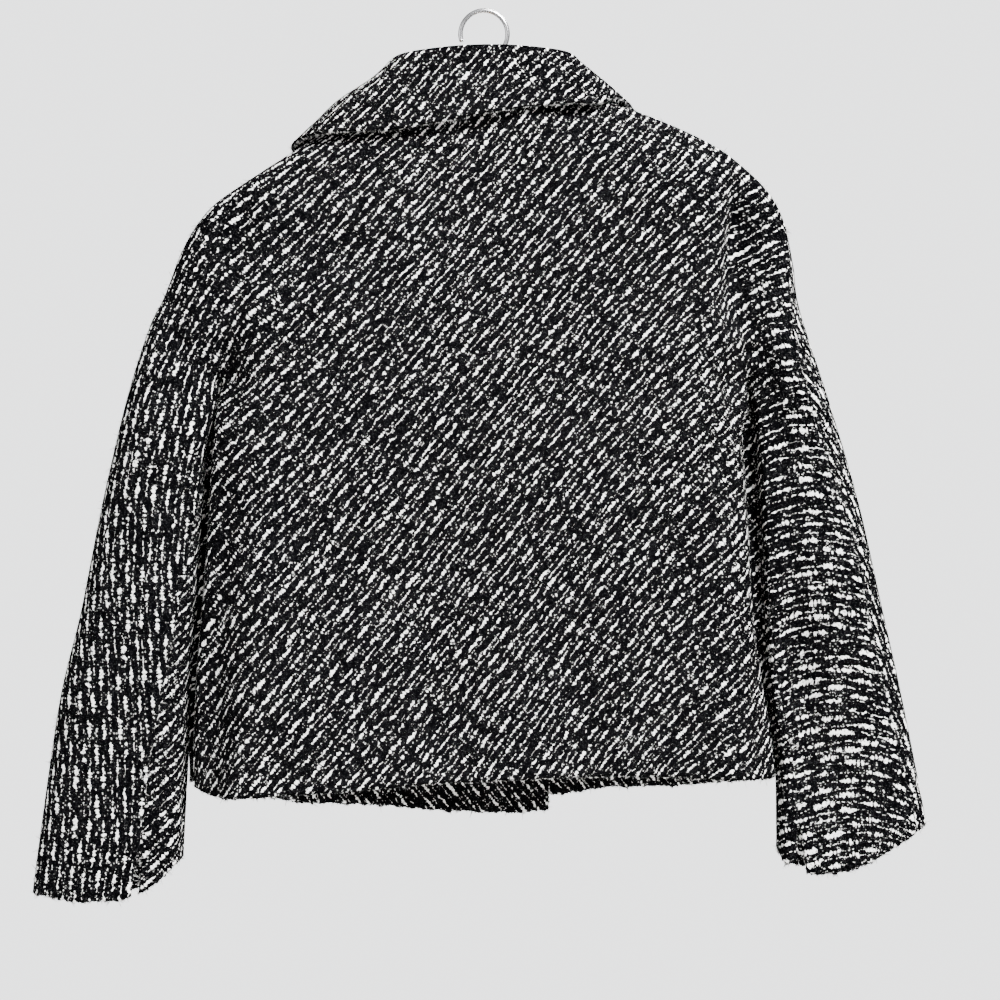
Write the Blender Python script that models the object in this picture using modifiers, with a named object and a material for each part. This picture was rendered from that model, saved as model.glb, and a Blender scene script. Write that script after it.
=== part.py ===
# A short pea coat with kimono sleeves, hung on a plain hanger with its back towards -Y.
#
# Lengths are in metres. Places on the cloth are given as (x, height, sheet): x runs from the wearer's
# left (-) to right (+), height is measured up from the back hem, and sheet is -1 on the back, 1 on the
# front. The coat is a flat-hung hollow: on both sheets the cloth swells out from the coat's outline.
# The origin is the point inside the top of the hook where a rail carries it.

import math

import bmesh
import bpy
import numpy as np
from mathutils import Vector

NAME = "pea_coat_on_hanger"

HOOK_HEIGHT = 0.652       # from the back hem up to the carried point of the hook
WALL = 0.003              # cloth and its lining together
SETBACK = 0.0003          # each piece stops about this far short of its seam line
UNDER_SETBACK = 0.00055   # the under-sleeves, whose walls turn sharply under the arm
GAP = 0.0003              # between layers that lie on each other
UNDERARM = 0.337          # height where the sleeves leave the body
OVERLAP = 0.056           # each front runs this far past the centre
BREAK = 0.395             # height where the lapels start to turn back
LAYER = WALL + 0.0017     # from one layer of cloth to the next that lies on it

# The outline of the hanging coat, each line from the top down: (x, height).
LEFT_OUTER = [
    (-0.075, 0.580), (-0.118, 0.560), (-0.160, 0.535), (-0.199, 0.510), (-0.229, 0.489),
    (-0.246, 0.468), (-0.258, 0.446), (-0.271, 0.412), (-0.284, 0.385), (-0.303, 0.325),
    (-0.324, 0.238), (-0.344, 0.142), (-0.364, 0.060), (-0.387, -0.096), (-0.390, -0.140),
]
LEFT_INNER = [
    (-0.2225, UNDERARM), (-0.2290, 0.312), (-0.2355, 0.280), (-0.2385, 0.238), (-0.2445, 0.170),
    (-0.2505, 0.100), (-0.2545, 0.030), (-0.2585, -0.065), (-0.2600, -0.140),
]
LEFT_SIDE = [
    (-0.2225, UNDERARM), (-0.2245, 0.312), (-0.2305, 0.280), (-0.2335, 0.238), (-0.2390, 0.170),
    (-0.2455, 0.100), (-0.2490, 0.030), (-0.2500, -0.002), (-0.2520, -0.080),
]
RIGHT_OUTER = [
    (0.075, 0.583), (0.115, 0.573), (0.160, 0.556), (0.200, 0.536), (0.229, 0.513),
    (0.246, 0.493), (0.256, 0.470), (0.263, 0.435), (0.268, 0.400), (0.292, 0.325),
    (0.318, 0.238), (0.339, 0.148), (0.357, 0.070), (0.379, -0.039), (0.392, -0.120),
]
RIGHT_INNER = [
    (0.2240, UNDERARM), (0.2275, 0.312), (0.2330, 0.238), (0.2370, 0.178), (0.2400, 0.109),
    (0.2440, 0.066), (0.2505, 0.015), (0.2520, -0.060), (0.2530, -0.120),
]
RIGHT_SIDE = [
    (0.2240, UNDERARM), (0.2235, 0.312), (0.2280, 0.238), (0.2320, 0.178), (0.2350, 0.109),
    (0.2385, 0.060), (0.2450, 0.015), (0.2470, 0.002), (0.2490, -0.080),
]

# How far each sheet stands out from the middle of the coat.
BODY_DEPTH = {
    #          height   back    front
    "hem":    (-0.02,  0.052,  0.058),
    "waist":  (0.17,   0.048,  0.056),
    "chest":  (0.38,   0.045,  0.052),
    "yoke":   (0.50,   0.042,  0.047),
    "neck":   (0.58,   0.041,  0.045),
}
SLEEVE_DEPTH = {
    #          height   back    front
    "cuff":   (-0.09,  0.027,  0.027),
    "elbow":  (0.15,   0.030,  0.032),
    "upper":  (0.34,   0.033,  0.036),
    "head":   (0.48,   0.036,  0.040),
}
BODY_EDGE = 0.090         # width over which the body rounds away to its side
SLEEVE_EDGE = 0.47        # the same on a sleeve, as a share of its width
SLEEVE_LEAD = 0.018       # how far the cuffs hang in front of the shoulders
ARMHOLE_X = 0.223         # where the body turns into the sleeves

# Lower edges: height at places across. Cuffs run from the outer edge (0) to the inner one (1).
LEFT_CUFF = [(0.0, -0.096), (0.3, -0.102), (0.62, -0.100), (0.75, -0.094), (0.86, -0.085), (1.0, -0.066)]
RIGHT_CUFF = [(0.0, -0.039), (0.16, -0.050), (0.40, -0.069), (0.62, -0.077), (0.84, -0.078), (1.0, -0.060)]
BACK_HEM = [(-0.250, -0.002), (-0.225, -0.007), (-0.175, -0.008), (-0.130, -0.004), (-0.085, -0.001),
            (-0.030, 0.004), (0.050, 0.008), (0.140, 0.010), (0.247, 0.004)]
LEFT_FRONT_HEM = [(-0.250, -0.002), (-0.220, -0.016), (-0.160, -0.025), (-0.090, -0.0275), (-0.030, -0.032),
                  (0.030, -0.034), (0.056, -0.031)]
RIGHT_FRONT_HEM = [(-0.056, -0.023), (0.000, -0.021), (0.066, -0.018), (0.110, -0.012), (0.180, -0.0095),
                   (0.215, -0.007), (0.247, 0.004)]

# Seams set in from the sleeve's edge, over the back (+) or the front (-): (height, distance).
RIGHT_OVERARM_SEAM = [(-0.05, 0.009), (0.10, 0.016), (0.20, 0.017), (0.33, 0.022), (0.42, 0.009),
                      (0.470, 0.0)]
NO_SEAM = [(0.0, 0.0)]
LEFT_UNDER_BACK = [(-0.09, 0.040), (0.03, 0.031), (0.10, 0.021), (0.17, 0.011), (0.24, 0.003),
                   (UNDERARM, 0.0)]
LEFT_UNDER_FRONT = [(-0.09, 0.038), (0.10, 0.034), (0.25, 0.020), (UNDERARM, 0.0)]
RIGHT_UNDER_BACK = [(-0.08, 0.021), (0.03, 0.013), (0.10, 0.008), (0.17, 0.004), (0.24, 0.0012),
                    (UNDERARM, 0.0)]
RIGHT_UNDER_FRONT = [(-0.08, 0.046), (0.10, 0.038), (0.25, 0.020), (UNDERARM, 0.0)]
VENT = 0.034              # length of the open slit at the foot of each back under-sleeve seam
VENT_WIDTH = 0.002        # each side of the slit is drawn back this far

# The largest folds: a trough (-) or ridge (+) along a line on one sheet.
FOLDS = [
    # sheet   from (x, height)     to (x, height)      width   depth
    (-1, (0.232, 0.485), (0.222, 0.340), 0.020, -0.010),
    (-1, (-0.205, 0.470), (-0.221, 0.345), 0.018, -0.007),
    (-1, (-0.270, 0.400), (-0.248, 0.330), 0.014, -0.006),
    (-1, (-0.205, 0.455), (-0.100, 0.420), 0.024, -0.005),
    (-1, (0.245, 0.300), (0.262, 0.080), 0.016, -0.006),
    (-1, (0.010, 0.120), (0.035, -0.010), 0.040, 0.006),
    (-1, (-0.110, 0.170), (-0.150, -0.010), 0.038, -0.005),
    (-1, (0.165, 0.200), (0.175, -0.010), 0.036, -0.004),
    (1, (0.230, 0.480), (0.221, 0.345), 0.020, -0.009),
    (1, (-0.218, 0.465), (-0.221, 0.345), 0.018, -0.008),
    (1, (-0.150, 0.180), (-0.172, -0.020), 0.034, -0.005),
    (1, (0.140, 0.210), (0.165, -0.015), 0.036, -0.005),
    (1, (-0.262, 0.300), (-0.275, 0.090), 0.015, -0.005),
]

# The collar, a row for each section from the left gorge round the back to the right one. The neck is
# where its stand is sewn on, the roll its folded top, and the edge lies over the sheet (0: the shoulder).
COLLAR = {
    #                  neck: x, height, sheet  roll: x, y, height         edge: x, height, sheet
    "left_gorge":     ((-0.0695, 0.5745, 1),  (-0.071, 0.0330, 0.5810), (-0.146, 0.511, 1)),
    "left_chest":     ((-0.0730, 0.5775, 1),  (-0.077, 0.0180, 0.5940), (-0.160, 0.529, 1)),
    "left_shoulder":  ((-0.0745, 0.5812, -1), (-0.079, 0.0000, 0.6040), (-0.158, 0.5440, 0)),
    "left_blade":     ((-0.0620, 0.5772, -1), (-0.070, -0.0250, 0.6100), (-0.124, 0.541, -1)),
    "left_nape":      ((-0.0340, 0.5725, -1), (-0.041, -0.0400, 0.6130), (-0.068, 0.5445, -1)),
    "nape":           ((0.0000, 0.5710, -1),  (0.000, -0.0450, 0.6150), (0.002, 0.559, -1)),
    "right_nape":     ((0.0340, 0.5740, -1),  (0.041, -0.0400, 0.6140), (0.052, 0.566, -1)),
    "right_blade":    ((0.0620, 0.5797, -1),  (0.070, -0.0250, 0.6120), (0.094, 0.565, -1)),
    "right_shoulder": ((0.0745, 0.5842, -1),  (0.079, 0.0000, 0.6070), (0.116, 0.5800, 0)),
    "right_chest":    ((0.0730, 0.5795, 1),   (0.077, 0.0180, 0.5960), (0.136, 0.553, 1)),
    "right_gorge":    ((0.0695, 0.5745, 1),   (0.071, 0.0330, 0.5820), (0.138, 0.519, 1)),
}
COLLAR_LIFT = 0.0060      # the fall's edge stands this far off the cloth below
NECK_CLEARANCE = 0.0012   # from the middle of the neckline's rim up to the stand
ROLL_TOP = (0.070, 0.574)     # where the lapels' roll lines meet the collar
LAPEL_TIP = (0.126, 0.493)
LAPEL_NOTCH = (0.101, 0.5475)     # outer end of the seam between lapel and collar
LAPEL_BELLY = (0.010, -0.012)     # how far its free edge bows out half way up
SHORT_OF_COLLAR = 0.001
LAPEL_SPARE = 0.0013      # between the right lapel and the front that it lies on

BUTTON_X = 0.034
BUTTON_HEIGHTS = {"top": 0.370, "middle": 0.255, "bottom": 0.140}
BUTTON_PROFILE = [        # radius, rise from the cloth
    (0.0, 0.0032), (0.0080, 0.0032), (0.0095, 0.0045), (0.0115, 0.0045),
    (0.0125, 0.0034), (0.0125, 0.0012), (0.0110, 0.0), (0.0, 0.0),
]

ARM_RADIUS = 0.007        # hanger arms
HANGER_TIP = 0.218
HANGER_NECK = 0.079       # inside this the arms are clear of the shoulders
HANGER_ROOM = 0.0014      # between the arms and the cloth over them
HANGER_TOP = 0.586        # middle of the hanger's bar at the centre
HANGER_BOW = [(-0.060, 0.5700), (-0.045, 0.5750), (-0.022, 0.5835), (0.0, HANGER_TOP),
              (0.022, 0.5840), (0.045, 0.5765), (0.060, 0.5720)]
WIRE_RADIUS = 0.002
HOOK_RADIUS = 0.020       # of the wire's centre line
HOOK_SHANK = [(0.0, 0.0), (0.0, 0.006), (0.004, 0.012), (0.012, 0.020)]     # x, rise above the bar
HOOK_ARC = range(-25, 206, 15)      # degrees round its centre

# How the pieces are laid out: shares up the yoke, its corners on the outline, and counts.
YOKE_STEPS = np.array([0.0, 0.17, 0.34, 0.50, 0.64, 0.77, 0.885, 0.965, 1.0])
LEFT_CORNER = (-0.246, 0.468)
RIGHT_CORNER = (0.256, 0.470)
LEFT_SLEEVE_TOP = (-0.199, 0.510)
RIGHT_SLEEVE_TOP = (0.200, 0.536)
LEFT_NECK = (-0.075, 0.580)
NECK_DIP = 0.0105         # how far the back neckline dips
RIGHT_NECK = (0.075, 0.583)
SLEEVE_COLUMNS = 8
SLEEVE_ROWS = 11
BODY_ROWS = 8
CUFFS = {"left": LEFT_CUFF, "right": RIGHT_CUFF}

COLOURS = {
    #            red    green  blue   roughness  metallic
    "tweed":   ((0.035, 0.034, 0.036), 0.95, 0.0),
    "horn":    ((0.020, 0.018, 0.018), 0.35, 0.0),
    "wood":    ((0.420, 0.270, 0.150), 0.50, 0.0),
    "steel":   ((0.600, 0.600, 0.610), 0.25, 1.0),
}


# ---- reading the tables ----

def curved(points, samples=8):
    """The points of a smooth curve through the given ones."""
    given = np.array(points, float)
    padded = np.vstack([2 * given[0] - given[1], given, 2 * given[-1] - given[-2]])
    steps = np.linspace(0, 1, samples, endpoint=False)[:, None]
    parts = []
    for before, start, end, after in zip(padded, padded[1:], padded[2:], padded[3:]):
        bend = 2 * before - 5 * start + 4 * end - after
        twist = -before + 3 * start - 3 * end + after
        parts.append(start + 0.5 * steps * ((end - before) + steps * (bend + steps * twist)))
    return np.vstack(parts + [given[-1:]])


def across(table, place):
    """The second column of a table of pairs, at a value of the first."""
    rows = sorted(table)
    return np.interp(place, [row[0] for row in rows], [row[1] for row in rows])


def at_height(line, height):
    """x of an outline at a height."""
    return np.interp(height, line[::-1, 1], line[::-1, 0])


def eased(value):
    """0 to 1 with soft ends."""
    value = np.clip(value, 0, 1)
    return value * value * (3 - 2 * value)


LINES = {
    "left_outer": curved(LEFT_OUTER),
    "left_inner": curved(LEFT_INNER),
    "left_side": curved(LEFT_SIDE),
    "right_outer": curved(RIGHT_OUTER),
    "right_inner": curved(RIGHT_INNER),
    "right_side": curved(RIGHT_SIDE),
}
# The same lines as ones that keep the cloth on their left.
WALLS = [
    LINES["left_outer"],
    np.vstack([LINES["left_inner"][::-1], LINES["left_side"][1:]]),
    np.vstack([LINES["right_side"][::-1], LINES["right_inner"][1:]]),
    LINES["right_outer"][::-1],
]


# ---- the coat's form ----

def inside_distance(points):
    """Distance of each point (x, height) from the outline, negative outside it."""
    nearest = np.full(len(points), 9.0)
    signed = np.zeros(len(points))
    for line in WALLS:
        start = line[:-1]
        step = line[1:] - start
        offset = points[:, None, :] - start
        share = np.clip((offset * step).sum(2) / (step * step).sum(1), 0, 1)
        miss = np.linalg.norm(offset - share[:, :, None] * step, axis=2)
        normal = np.column_stack([-step[:, 1], step[:, 0]]) / np.linalg.norm(step, axis=1)[:, None]
        at_start = np.vstack([normal[:1], normal[1:] + normal[:-1]])
        at_end = np.vstack([normal[1:] + normal[:-1], normal[-1:]])
        side = (offset * normal).sum(2)
        side = np.where(share <= 0, (offset * at_start).sum(2), side)
        side = np.where(share >= 1, ((offset - step) * at_end).sum(2), side)
        pick = miss.argmin(1)
        rows = np.arange(len(points))
        closer = miss[rows, pick] < nearest
        nearest = np.where(closer, miss[rows, pick], nearest)
        signed = np.where(closer, np.sign(side[rows, pick]) * miss[rows, pick], signed)
    return signed


def depth_of(table, height, sheet):
    heights = [row[0] for row in table.values()]
    order = np.argsort(heights)
    back = np.interp(height, np.array(heights)[order], np.array([row[1] for row in table.values()])[order])
    front = np.interp(height, np.array(heights)[order], np.array([row[2] for row in table.values()])[order])
    return np.where(sheet < 0, back, front)


def sleeve_share(x, height):
    """1 in the sleeves and 0 in the body, with a soft change over the armhole."""
    start = ARMHOLE_X - 0.045 + np.interp(height, [-0.10, UNDERARM], [0.028, 0.0])
    return eased((np.abs(x) - start) / 0.060)


def swell(x, height, sheet):
    """The square of how far the cloth stands out from the coat's middle."""
    share = sleeve_share(x, height)
    low = np.minimum(height, UNDERARM)
    left = at_height(LINES["left_inner"], low) - at_height(LINES["left_outer"], low)
    right = at_height(LINES["right_outer"], low) - at_height(LINES["right_inner"], low)
    narrow = SLEEVE_EDGE * np.where(x < 0, left, right)
    narrow = narrow + (BODY_EDGE - narrow) * eased((height - UNDERARM) / 0.14)
    edge = BODY_EDGE + (narrow - BODY_EDGE) * share
    deep = depth_of(BODY_DEPTH, height, sheet)
    deep = deep + (depth_of(SLEEVE_DEPTH, height, sheet) - deep) * share
    reach = np.minimum(inside_distance(np.column_stack([x, height])) / edge, 1)
    return deep ** 2 * (2 * reach - reach ** 2)


def middle_y(x, height):
    """The sleeves hang a little forward."""
    return SLEEVE_LEAD * sleeve_share(x, height) * eased((UNDERARM - height) / 0.43)


def form(places):
    """Points on the plain form, and its outward directions, for rows of (x, height, sheet)."""
    x, height, sheet = np.array(places, float).T
    y = middle_y(x, height) + sheet * np.sqrt(np.maximum(swell(x, height, sheet), 0))
    step = 0.0005

    def level(shift_x, shift_height):
        there = (x + shift_x, height + shift_height)
        return (y - middle_y(*there)) ** 2 - swell(*there, sheet)

    outward = np.column_stack([
        level(step, 0) - level(-step, 0),
        4 * step * (y - middle_y(x, height)),
        level(0, step) - level(0, -step),
    ])
    outward /= np.linalg.norm(outward, axis=1)[:, None]
    return np.column_stack([x, y, height - HOOK_HEIGHT]), outward


def folded(places):
    """How far the folds move each place outwards."""
    x, height, sheet = np.array(places, float).T
    total = np.zeros(len(x))
    for side, start, end, width, depth in FOLDS:
        run = np.subtract(end, start)
        offset = np.column_stack([x - start[0], height - start[1]])
        share = np.clip(offset @ run / (run @ run), 0, 1)
        miss = np.linalg.norm(offset - share[:, None] * run, axis=1)
        total += np.where(sheet * side > 0, depth * np.exp(-(miss / width) ** 2), 0)
    near_edge = np.clip(inside_distance(np.column_stack([x, height])) / 0.020, 0, 1)
    return total * near_edge


# ---- laying out the pieces as rows of places ----

def shared(values, count):
    return np.linspace(values[0], values[1], count + 1)


def round_steps(first, last, count):
    """Shares from 0 to 1 across a tube, closer at its edges; angles in degrees, 0 to 180."""
    angles = np.radians(shared((first, last), count))
    return (1 - np.cos(angles)) / 2


def angle_at(distance, width):
    return math.degrees(math.acos(1 - 2 * min(max(distance / width, 0), 1)))


def body_steps(width, sides, middle):
    """Shares across the body: close at each side where it rounds, even between."""
    rounding = BODY_EDGE / width * (1 - np.cos(np.radians(shared((0, 90), sides))))
    centre = shared((rounding[-1], 1 - rounding[-1]), middle)[1:-1]
    return np.concatenate([rounding, centre, 1 - rounding[::-1]])


def sleeve_rows(side, sheet, outer_seam, inner_seam, vent=0.0):
    """Rows down one sheet of a sleeve, between seams set in from its outer and inner edges."""
    outer = LINES[side + "_outer"]
    inner = LINES[side + "_inner"]
    cuff = CUFFS[side]
    grid = []
    for row in range(SLEEVE_ROWS + 1):
        down = row / SLEEVE_ROWS
        outer_height = UNDERARM + (across(cuff, 0) - UNDERARM) * down
        inner_height = UNDERARM + (across(cuff, 1) - UNDERARM) * down
        start = at_height(outer, outer_height)
        end = at_height(inner, inner_height)
        width = abs(end - start)
        first = angle_at(across(outer_seam, outer_height), width)
        slit = vent if inner_height < across(cuff, 1) + VENT else 0.0
        last = 180 - angle_at(across(inner_seam, inner_height) + slit, width)
        line = []
        for share in round_steps(first, last, SLEEVE_COLUMNS):
            height = UNDERARM + (across(cuff, share) - UNDERARM) * down
            line.append((start + (end - start) * share, height, sheet))
        grid.append(line)
    return grid


def under_rows(side, back_seam, front_seam):
    """Rows down an under-sleeve: from its back seam round the inner edge to its front seam."""
    outer = LINES[side + "_outer"]
    inner = LINES[side + "_inner"]
    cuff = CUFFS[side]
    grid = []
    for row in range(SLEEVE_ROWS + 1):
        down = row / SLEEVE_ROWS
        outer_height = UNDERARM + (across(cuff, 0) - UNDERARM) * down
        inner_height = UNDERARM + (across(cuff, 1) - UNDERARM) * down
        start = at_height(outer, outer_height)
        end = at_height(inner, inner_height)
        width = abs(end - start)
        slit = VENT_WIDTH if inner_height < across(cuff, 1) + VENT else 0.0
        back = angle_at(across(back_seam, inner_height) - slit, width)
        front = angle_at(across(front_seam, inner_height), width)
        line = []
        for sheet, angles in ((-1, shared((180 - back, 180), 3)), (1, shared((180, 180 - front), 3)[1:])):
            for angle in angles:
                share = (1 - math.cos(math.radians(angle))) / 2
                height = UNDERARM + (across(cuff, share) - UNDERARM) * down
                line.append((start + (end - start) * share, height, sheet))
        grid.append(line)
    return grid


def straight(x):
    """An upright line."""
    return np.array([(x, 1.0), (x, -1.0)])


def body_rows(sheet, hem, shares, left, right):
    """Rows down one sheet of the body, from its left line to its right one."""
    grid = []
    for row in range(BODY_ROWS + 1):
        down = row / BODY_ROWS
        left_height = UNDERARM + (hem[0][1] - UNDERARM) * down
        right_height = UNDERARM + (hem[-1][1] - UNDERARM) * down
        start = at_height(left, left_height)
        end = at_height(right, right_height)
        line = []
        for share in shares:
            x = start + (end - start) * share
            height = UNDERARM + (across(hem, x) - UNDERARM) * down
            line.append((x, height, sheet))
        line[0] = (start, left_height, sheet)
        line[-1] = (end, right_height, sheet)
        grid.append(line)
    return grid


def stretch(line, start, end, count):
    """count + 1 points along a line between its points nearest to start and end."""
    first = np.linalg.norm(line - start, axis=1).argmin()
    last = np.linalg.norm(line - end, axis=1).argmin()
    path = line[first:last + 1] if first < last else line[last:first + 1][::-1]
    run = np.concatenate([[0], np.cumsum(np.linalg.norm(np.diff(path, axis=0), axis=1))])
    shares = np.linspace(0, 1, count + 1)
    places = shares * run[-1]
    return list(zip(np.interp(places, run, path[:, 0]), np.interp(places, run, path[:, 1])))


def yoke_rows(bottom, top, left, right, sheet):
    """Rows from the underarm up to the shoulders, blended between four border lines."""
    bottom, top, left, right = (np.array(line, float) for line in (bottom, top, left, right))
    along = np.concatenate([[0], np.cumsum(np.linalg.norm(np.diff(bottom, axis=0), axis=1))])
    along = (along / along[-1])[:, None]
    up = YOKE_STEPS[:, None]
    grid = []
    for row, share in enumerate(up[:, 0]):
        line = (1 - share) * bottom + share * top
        line = line + (1 - along) * (left[row] - (1 - share) * left[0] - share * left[-1])
        line = line + along * (right[row] - (1 - share) * right[0] - share * right[-1])
        grid.append([(x, height, sheet) for x, height in line])
    return grid


def strip_rows(seam, edge, columns):
    """Rows between a seam line and the outline, both on the back sheet."""
    grid = []
    for (seam_x, seam_height), (edge_x, edge_height) in zip(seam, edge):
        line = []
        for share in np.linspace(0, 1, columns + 1):
            reach = 1 - (1 - share) ** 2
            x = seam_x + (edge_x - seam_x) * reach
            height = seam_height + (edge_height - seam_height) * reach
            line.append((x, height, -1))
        grid.append(line)
    return grid


# ---- making solids ----

def new_object(name, mesh, material, collection):
    obj = bpy.data.objects.new(name, mesh)
    obj.data.materials.append(material)
    collection.objects.link(obj)
    return obj


def add_patch(bm, grid):
    """A quad patch through rows of points."""
    rows = len(grid)
    columns = len(grid[0])
    made = bmesh.ops.create_grid(bm, x_segments=columns - 1, y_segments=rows - 1, size=1)
    corners = sorted(made["verts"], key=lambda v: (round(v.co.y, 5), round(v.co.x, 5)))
    for index, vert in enumerate(corners):
        vert.co = grid[index // columns][index % columns]


def cloth(name, patches, lift, material, collection, setback=SETBACK):
    """A wall of cloth over patches of (x, height, sheet). lift moves its outer face off the form."""
    bm = bmesh.new()
    for patch in patches:
        add_patch(bm, patch)
    # Back and front share the outline, where the sheet makes no difference.
    for vert in bm.verts:
        on_edge = abs(inside_distance(np.array([[vert.co.x, vert.co.y]]))[0]) < 1e-5
        vert.co.z = 0 if on_edge else vert.co.z
    bmesh.ops.remove_doubles(bm, verts=bm.verts, dist=1e-5)
    bm.verts.ensure_lookup_table()
    places = [tuple(vert.co) for vert in bm.verts]
    points, outward = form(places)
    shift = folded(places) + np.array([lift(x, height) for x, height, _ in places])
    for vert, point in zip(bm.verts, points):
        vert.co = point
    middles = {face: face.calc_center_median() for face in bm.faces}
    drawn = {}
    for vert in bm.verts:
        if vert.is_boundary:
            target = sum((middles[face] for face in vert.link_faces), Vector()) / len(vert.link_faces)
            drawn[vert] = (target - vert.co).normalized() * setback
    for vert, move in drawn.items():
        vert.co += move
    outer = [vert.co + Vector(outward[i]) * shift[i] for i, vert in enumerate(bm.verts)]
    inner = [vert.co + Vector(outward[i]) * (shift[i] - WALL) for i, vert in enumerate(bm.verts)]
    which = bm.verts.layers.int.new("which")
    for index, vert in enumerate(bm.verts):
        vert[which] = index
    made = bmesh.ops.extrude_face_region(bm, geom=bm.faces[:])
    shell = {item for item in made["geom"] if isinstance(item, bmesh.types.BMVert)}
    for vert in bm.verts:
        vert.co = outer[vert[which]] if vert in shell else inner[vert[which]]
    bmesh.ops.triangulate(bm, faces=bm.faces, quad_method="SHORT_EDGE")
    bmesh.ops.recalc_face_normals(bm, faces=bm.faces)
    if bm.calc_volume(signed=True) < 0:
        bmesh.ops.reverse_faces(bm, faces=bm.faces)
    mesh = bpy.data.meshes.new(name)
    bm.to_mesh(mesh)
    bm.free()
    mesh.shade_smooth()
    return new_object(name, mesh, material, collection)


def flat_lift(x, height):
    return 0.0


def underlap(x, height):
    """The left front and its lapel lie below the right front, and come back up outside the overlap."""
    low = np.array([-OVERLAP, BREAK])
    run = np.array(ROLL_TOP) - low
    beyond = ((x - low[0]) * run[1] - (height - low[1]) * run[0]) / np.linalg.norm(run)
    if height < BREAK:
        beyond = x - low[0]
    layers = 1 + float(eased((height - BREAK + 0.10) / 0.08))
    return -LAYER * layers * float(eased((beyond + 0.060) / 0.060))


def left_lapel_lift(x, height):
    return underlap(x, height) + LAYER


def right_lapel_lift(x, height):
    return WALL + LAPEL_SPARE


def border(line, corner):
    """The outline from the underarm's height up to a shoulder corner, at the yoke's steps."""
    low = (at_height(line, UNDERARM), UNDERARM)
    points = np.array(stretch(line, low, corner, 40))
    points[0] = low
    run = np.concatenate([[0], np.cumsum(np.linalg.norm(np.diff(points, axis=0), axis=1))])
    places = YOKE_STEPS * run[-1]
    return list(zip(np.interp(places, run, points[:, 0]), np.interp(places, run, points[:, 1])))


def back_pieces():
    """The back with both sleeve backs, and its seam with the right front's sleeve."""
    left_sleeve = sleeve_rows("left", -1, NO_SEAM, LEFT_UNDER_BACK, VENT_WIDTH)
    right_sleeve = sleeve_rows("right", -1, RIGHT_OVERARM_SEAM, RIGHT_UNDER_BACK, VENT_WIDTH)
    width = LINES["right_side"][0, 0] - LINES["left_side"][0, 0]
    shares = body_steps(width, 5, 6)
    body = body_rows(-1, BACK_HEM, shares, LINES["left_side"], LINES["right_side"])
    bottom = left_sleeve[0][:-1] + body[0] + right_sleeve[0][::-1][1:]
    neck = back_neck(7)
    top = stretch(LINES["left_outer"], LEFT_CORNER, LEFT_SLEEVE_TOP, SLEEVE_COLUMNS)
    top += stretch(LINES["left_outer"], LEFT_SLEEVE_TOP, LEFT_NECK, 5)[1:]
    top += neck[1:-1]
    top += stretch(LINES["right_outer"], RIGHT_NECK, RIGHT_SLEEVE_TOP, 5)
    top += stretch(LINES["right_outer"], RIGHT_SLEEVE_TOP, RIGHT_CORNER, SLEEVE_COLUMNS)[1:]
    left_border = border(LINES["left_outer"], LEFT_CORNER)
    right_border = right_seam_line()
    yoke = yoke_rows([p[:2] for p in bottom], top, left_border, right_border, -1)
    return [left_sleeve, body, right_sleeve, yoke]


def back_neck(count):
    """The back neckline, a shallow dip between the two neck corners."""
    shares = np.linspace(0, 1, count)
    line = np.array(LEFT_NECK) + np.outer(shares, np.subtract(RIGHT_NECK, LEFT_NECK))
    line[:, 1] -= NECK_DIP * 4 * shares * (1 - shares)
    return [tuple(point) for point in line]


def right_seam_line():
    """The over-arm seam above the underarm: the outline, set in over the back."""
    edge = border(LINES["right_outer"], RIGHT_CORNER)
    seam = []
    for index, (x, height) in enumerate(edge):
        ahead = edge[min(index + 1, len(edge) - 1)]
        behind = edge[max(index - 1, 0)]
        run = np.subtract(ahead, behind)
        inward = np.array([-run[1], run[0]]) / np.linalg.norm(run)
        distance = across(RIGHT_OVERARM_SEAM, height)
        if index == 0:
            inward = np.array([-1.0, 0.0])
        seam.append((x + inward[0] * distance, height + inward[1] * distance))
    return seam


def roll_line(side, count):
    """From the neck down to where the lapel starts, as (x, height)."""
    sign = 1 if side == "right" else -1
    top = np.array([sign * ROLL_TOP[0], ROLL_TOP[1]])
    end = np.array([-sign * OVERLAP, BREAK])
    return [tuple(top + (end - top) * share) for share in np.linspace(0, 1, count + 1)]


def front_pieces(side):
    """A front with the front of its sleeve."""
    outer = LINES[side + "_outer"]
    edge = LINES[side + "_side"]
    sleeve = sleeve_rows(side, 1, NO_SEAM, LEFT_UNDER_FRONT if side == "left" else RIGHT_UNDER_FRONT)
    width = abs(edge[0, 0]) + OVERLAP
    rounding = BODY_EDGE / width * (1 - np.cos(np.radians(shared((0, 90), 5))))
    shares = np.concatenate([rounding, shared((rounding[-1], 1), 6)[1:]])
    if side == "left":
        corner, sleeve_top, neck, lap = LEFT_CORNER, LEFT_SLEEVE_TOP, LEFT_NECK, OVERLAP
        body = body_rows(1, LEFT_FRONT_HEM, shares, edge, straight(lap))
        bottom = sleeve[0][:-1] + body[0]
    else:
        corner, sleeve_top, neck, lap = RIGHT_CORNER, RIGHT_SLEEVE_TOP, RIGHT_NECK, -OVERLAP
        body = body_rows(1, RIGHT_FRONT_HEM, 1 - shares[::-1], straight(lap), edge)
        bottom = sleeve[0][:-1] + body[0][::-1]
    top = stretch(outer, corner, sleeve_top, SLEEVE_COLUMNS)
    top += stretch(outer, sleeve_top, neck, 5)[1:]
    top += roll_line(side, 5)
    inner = [(lap, UNDERARM + (BREAK - UNDERARM) * share) for share in YOKE_STEPS]
    yoke = yoke_rows([place[:2] for place in bottom], top, border(outer, corner), inner, 1)
    patches = [sleeve, body, yoke]
    if side == "right":
        patches.append(strip_rows(right_seam_line(), border(outer, corner), 3))
        patches.append(strip_rows(*overarm_lines(), 3))
    return patches


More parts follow.
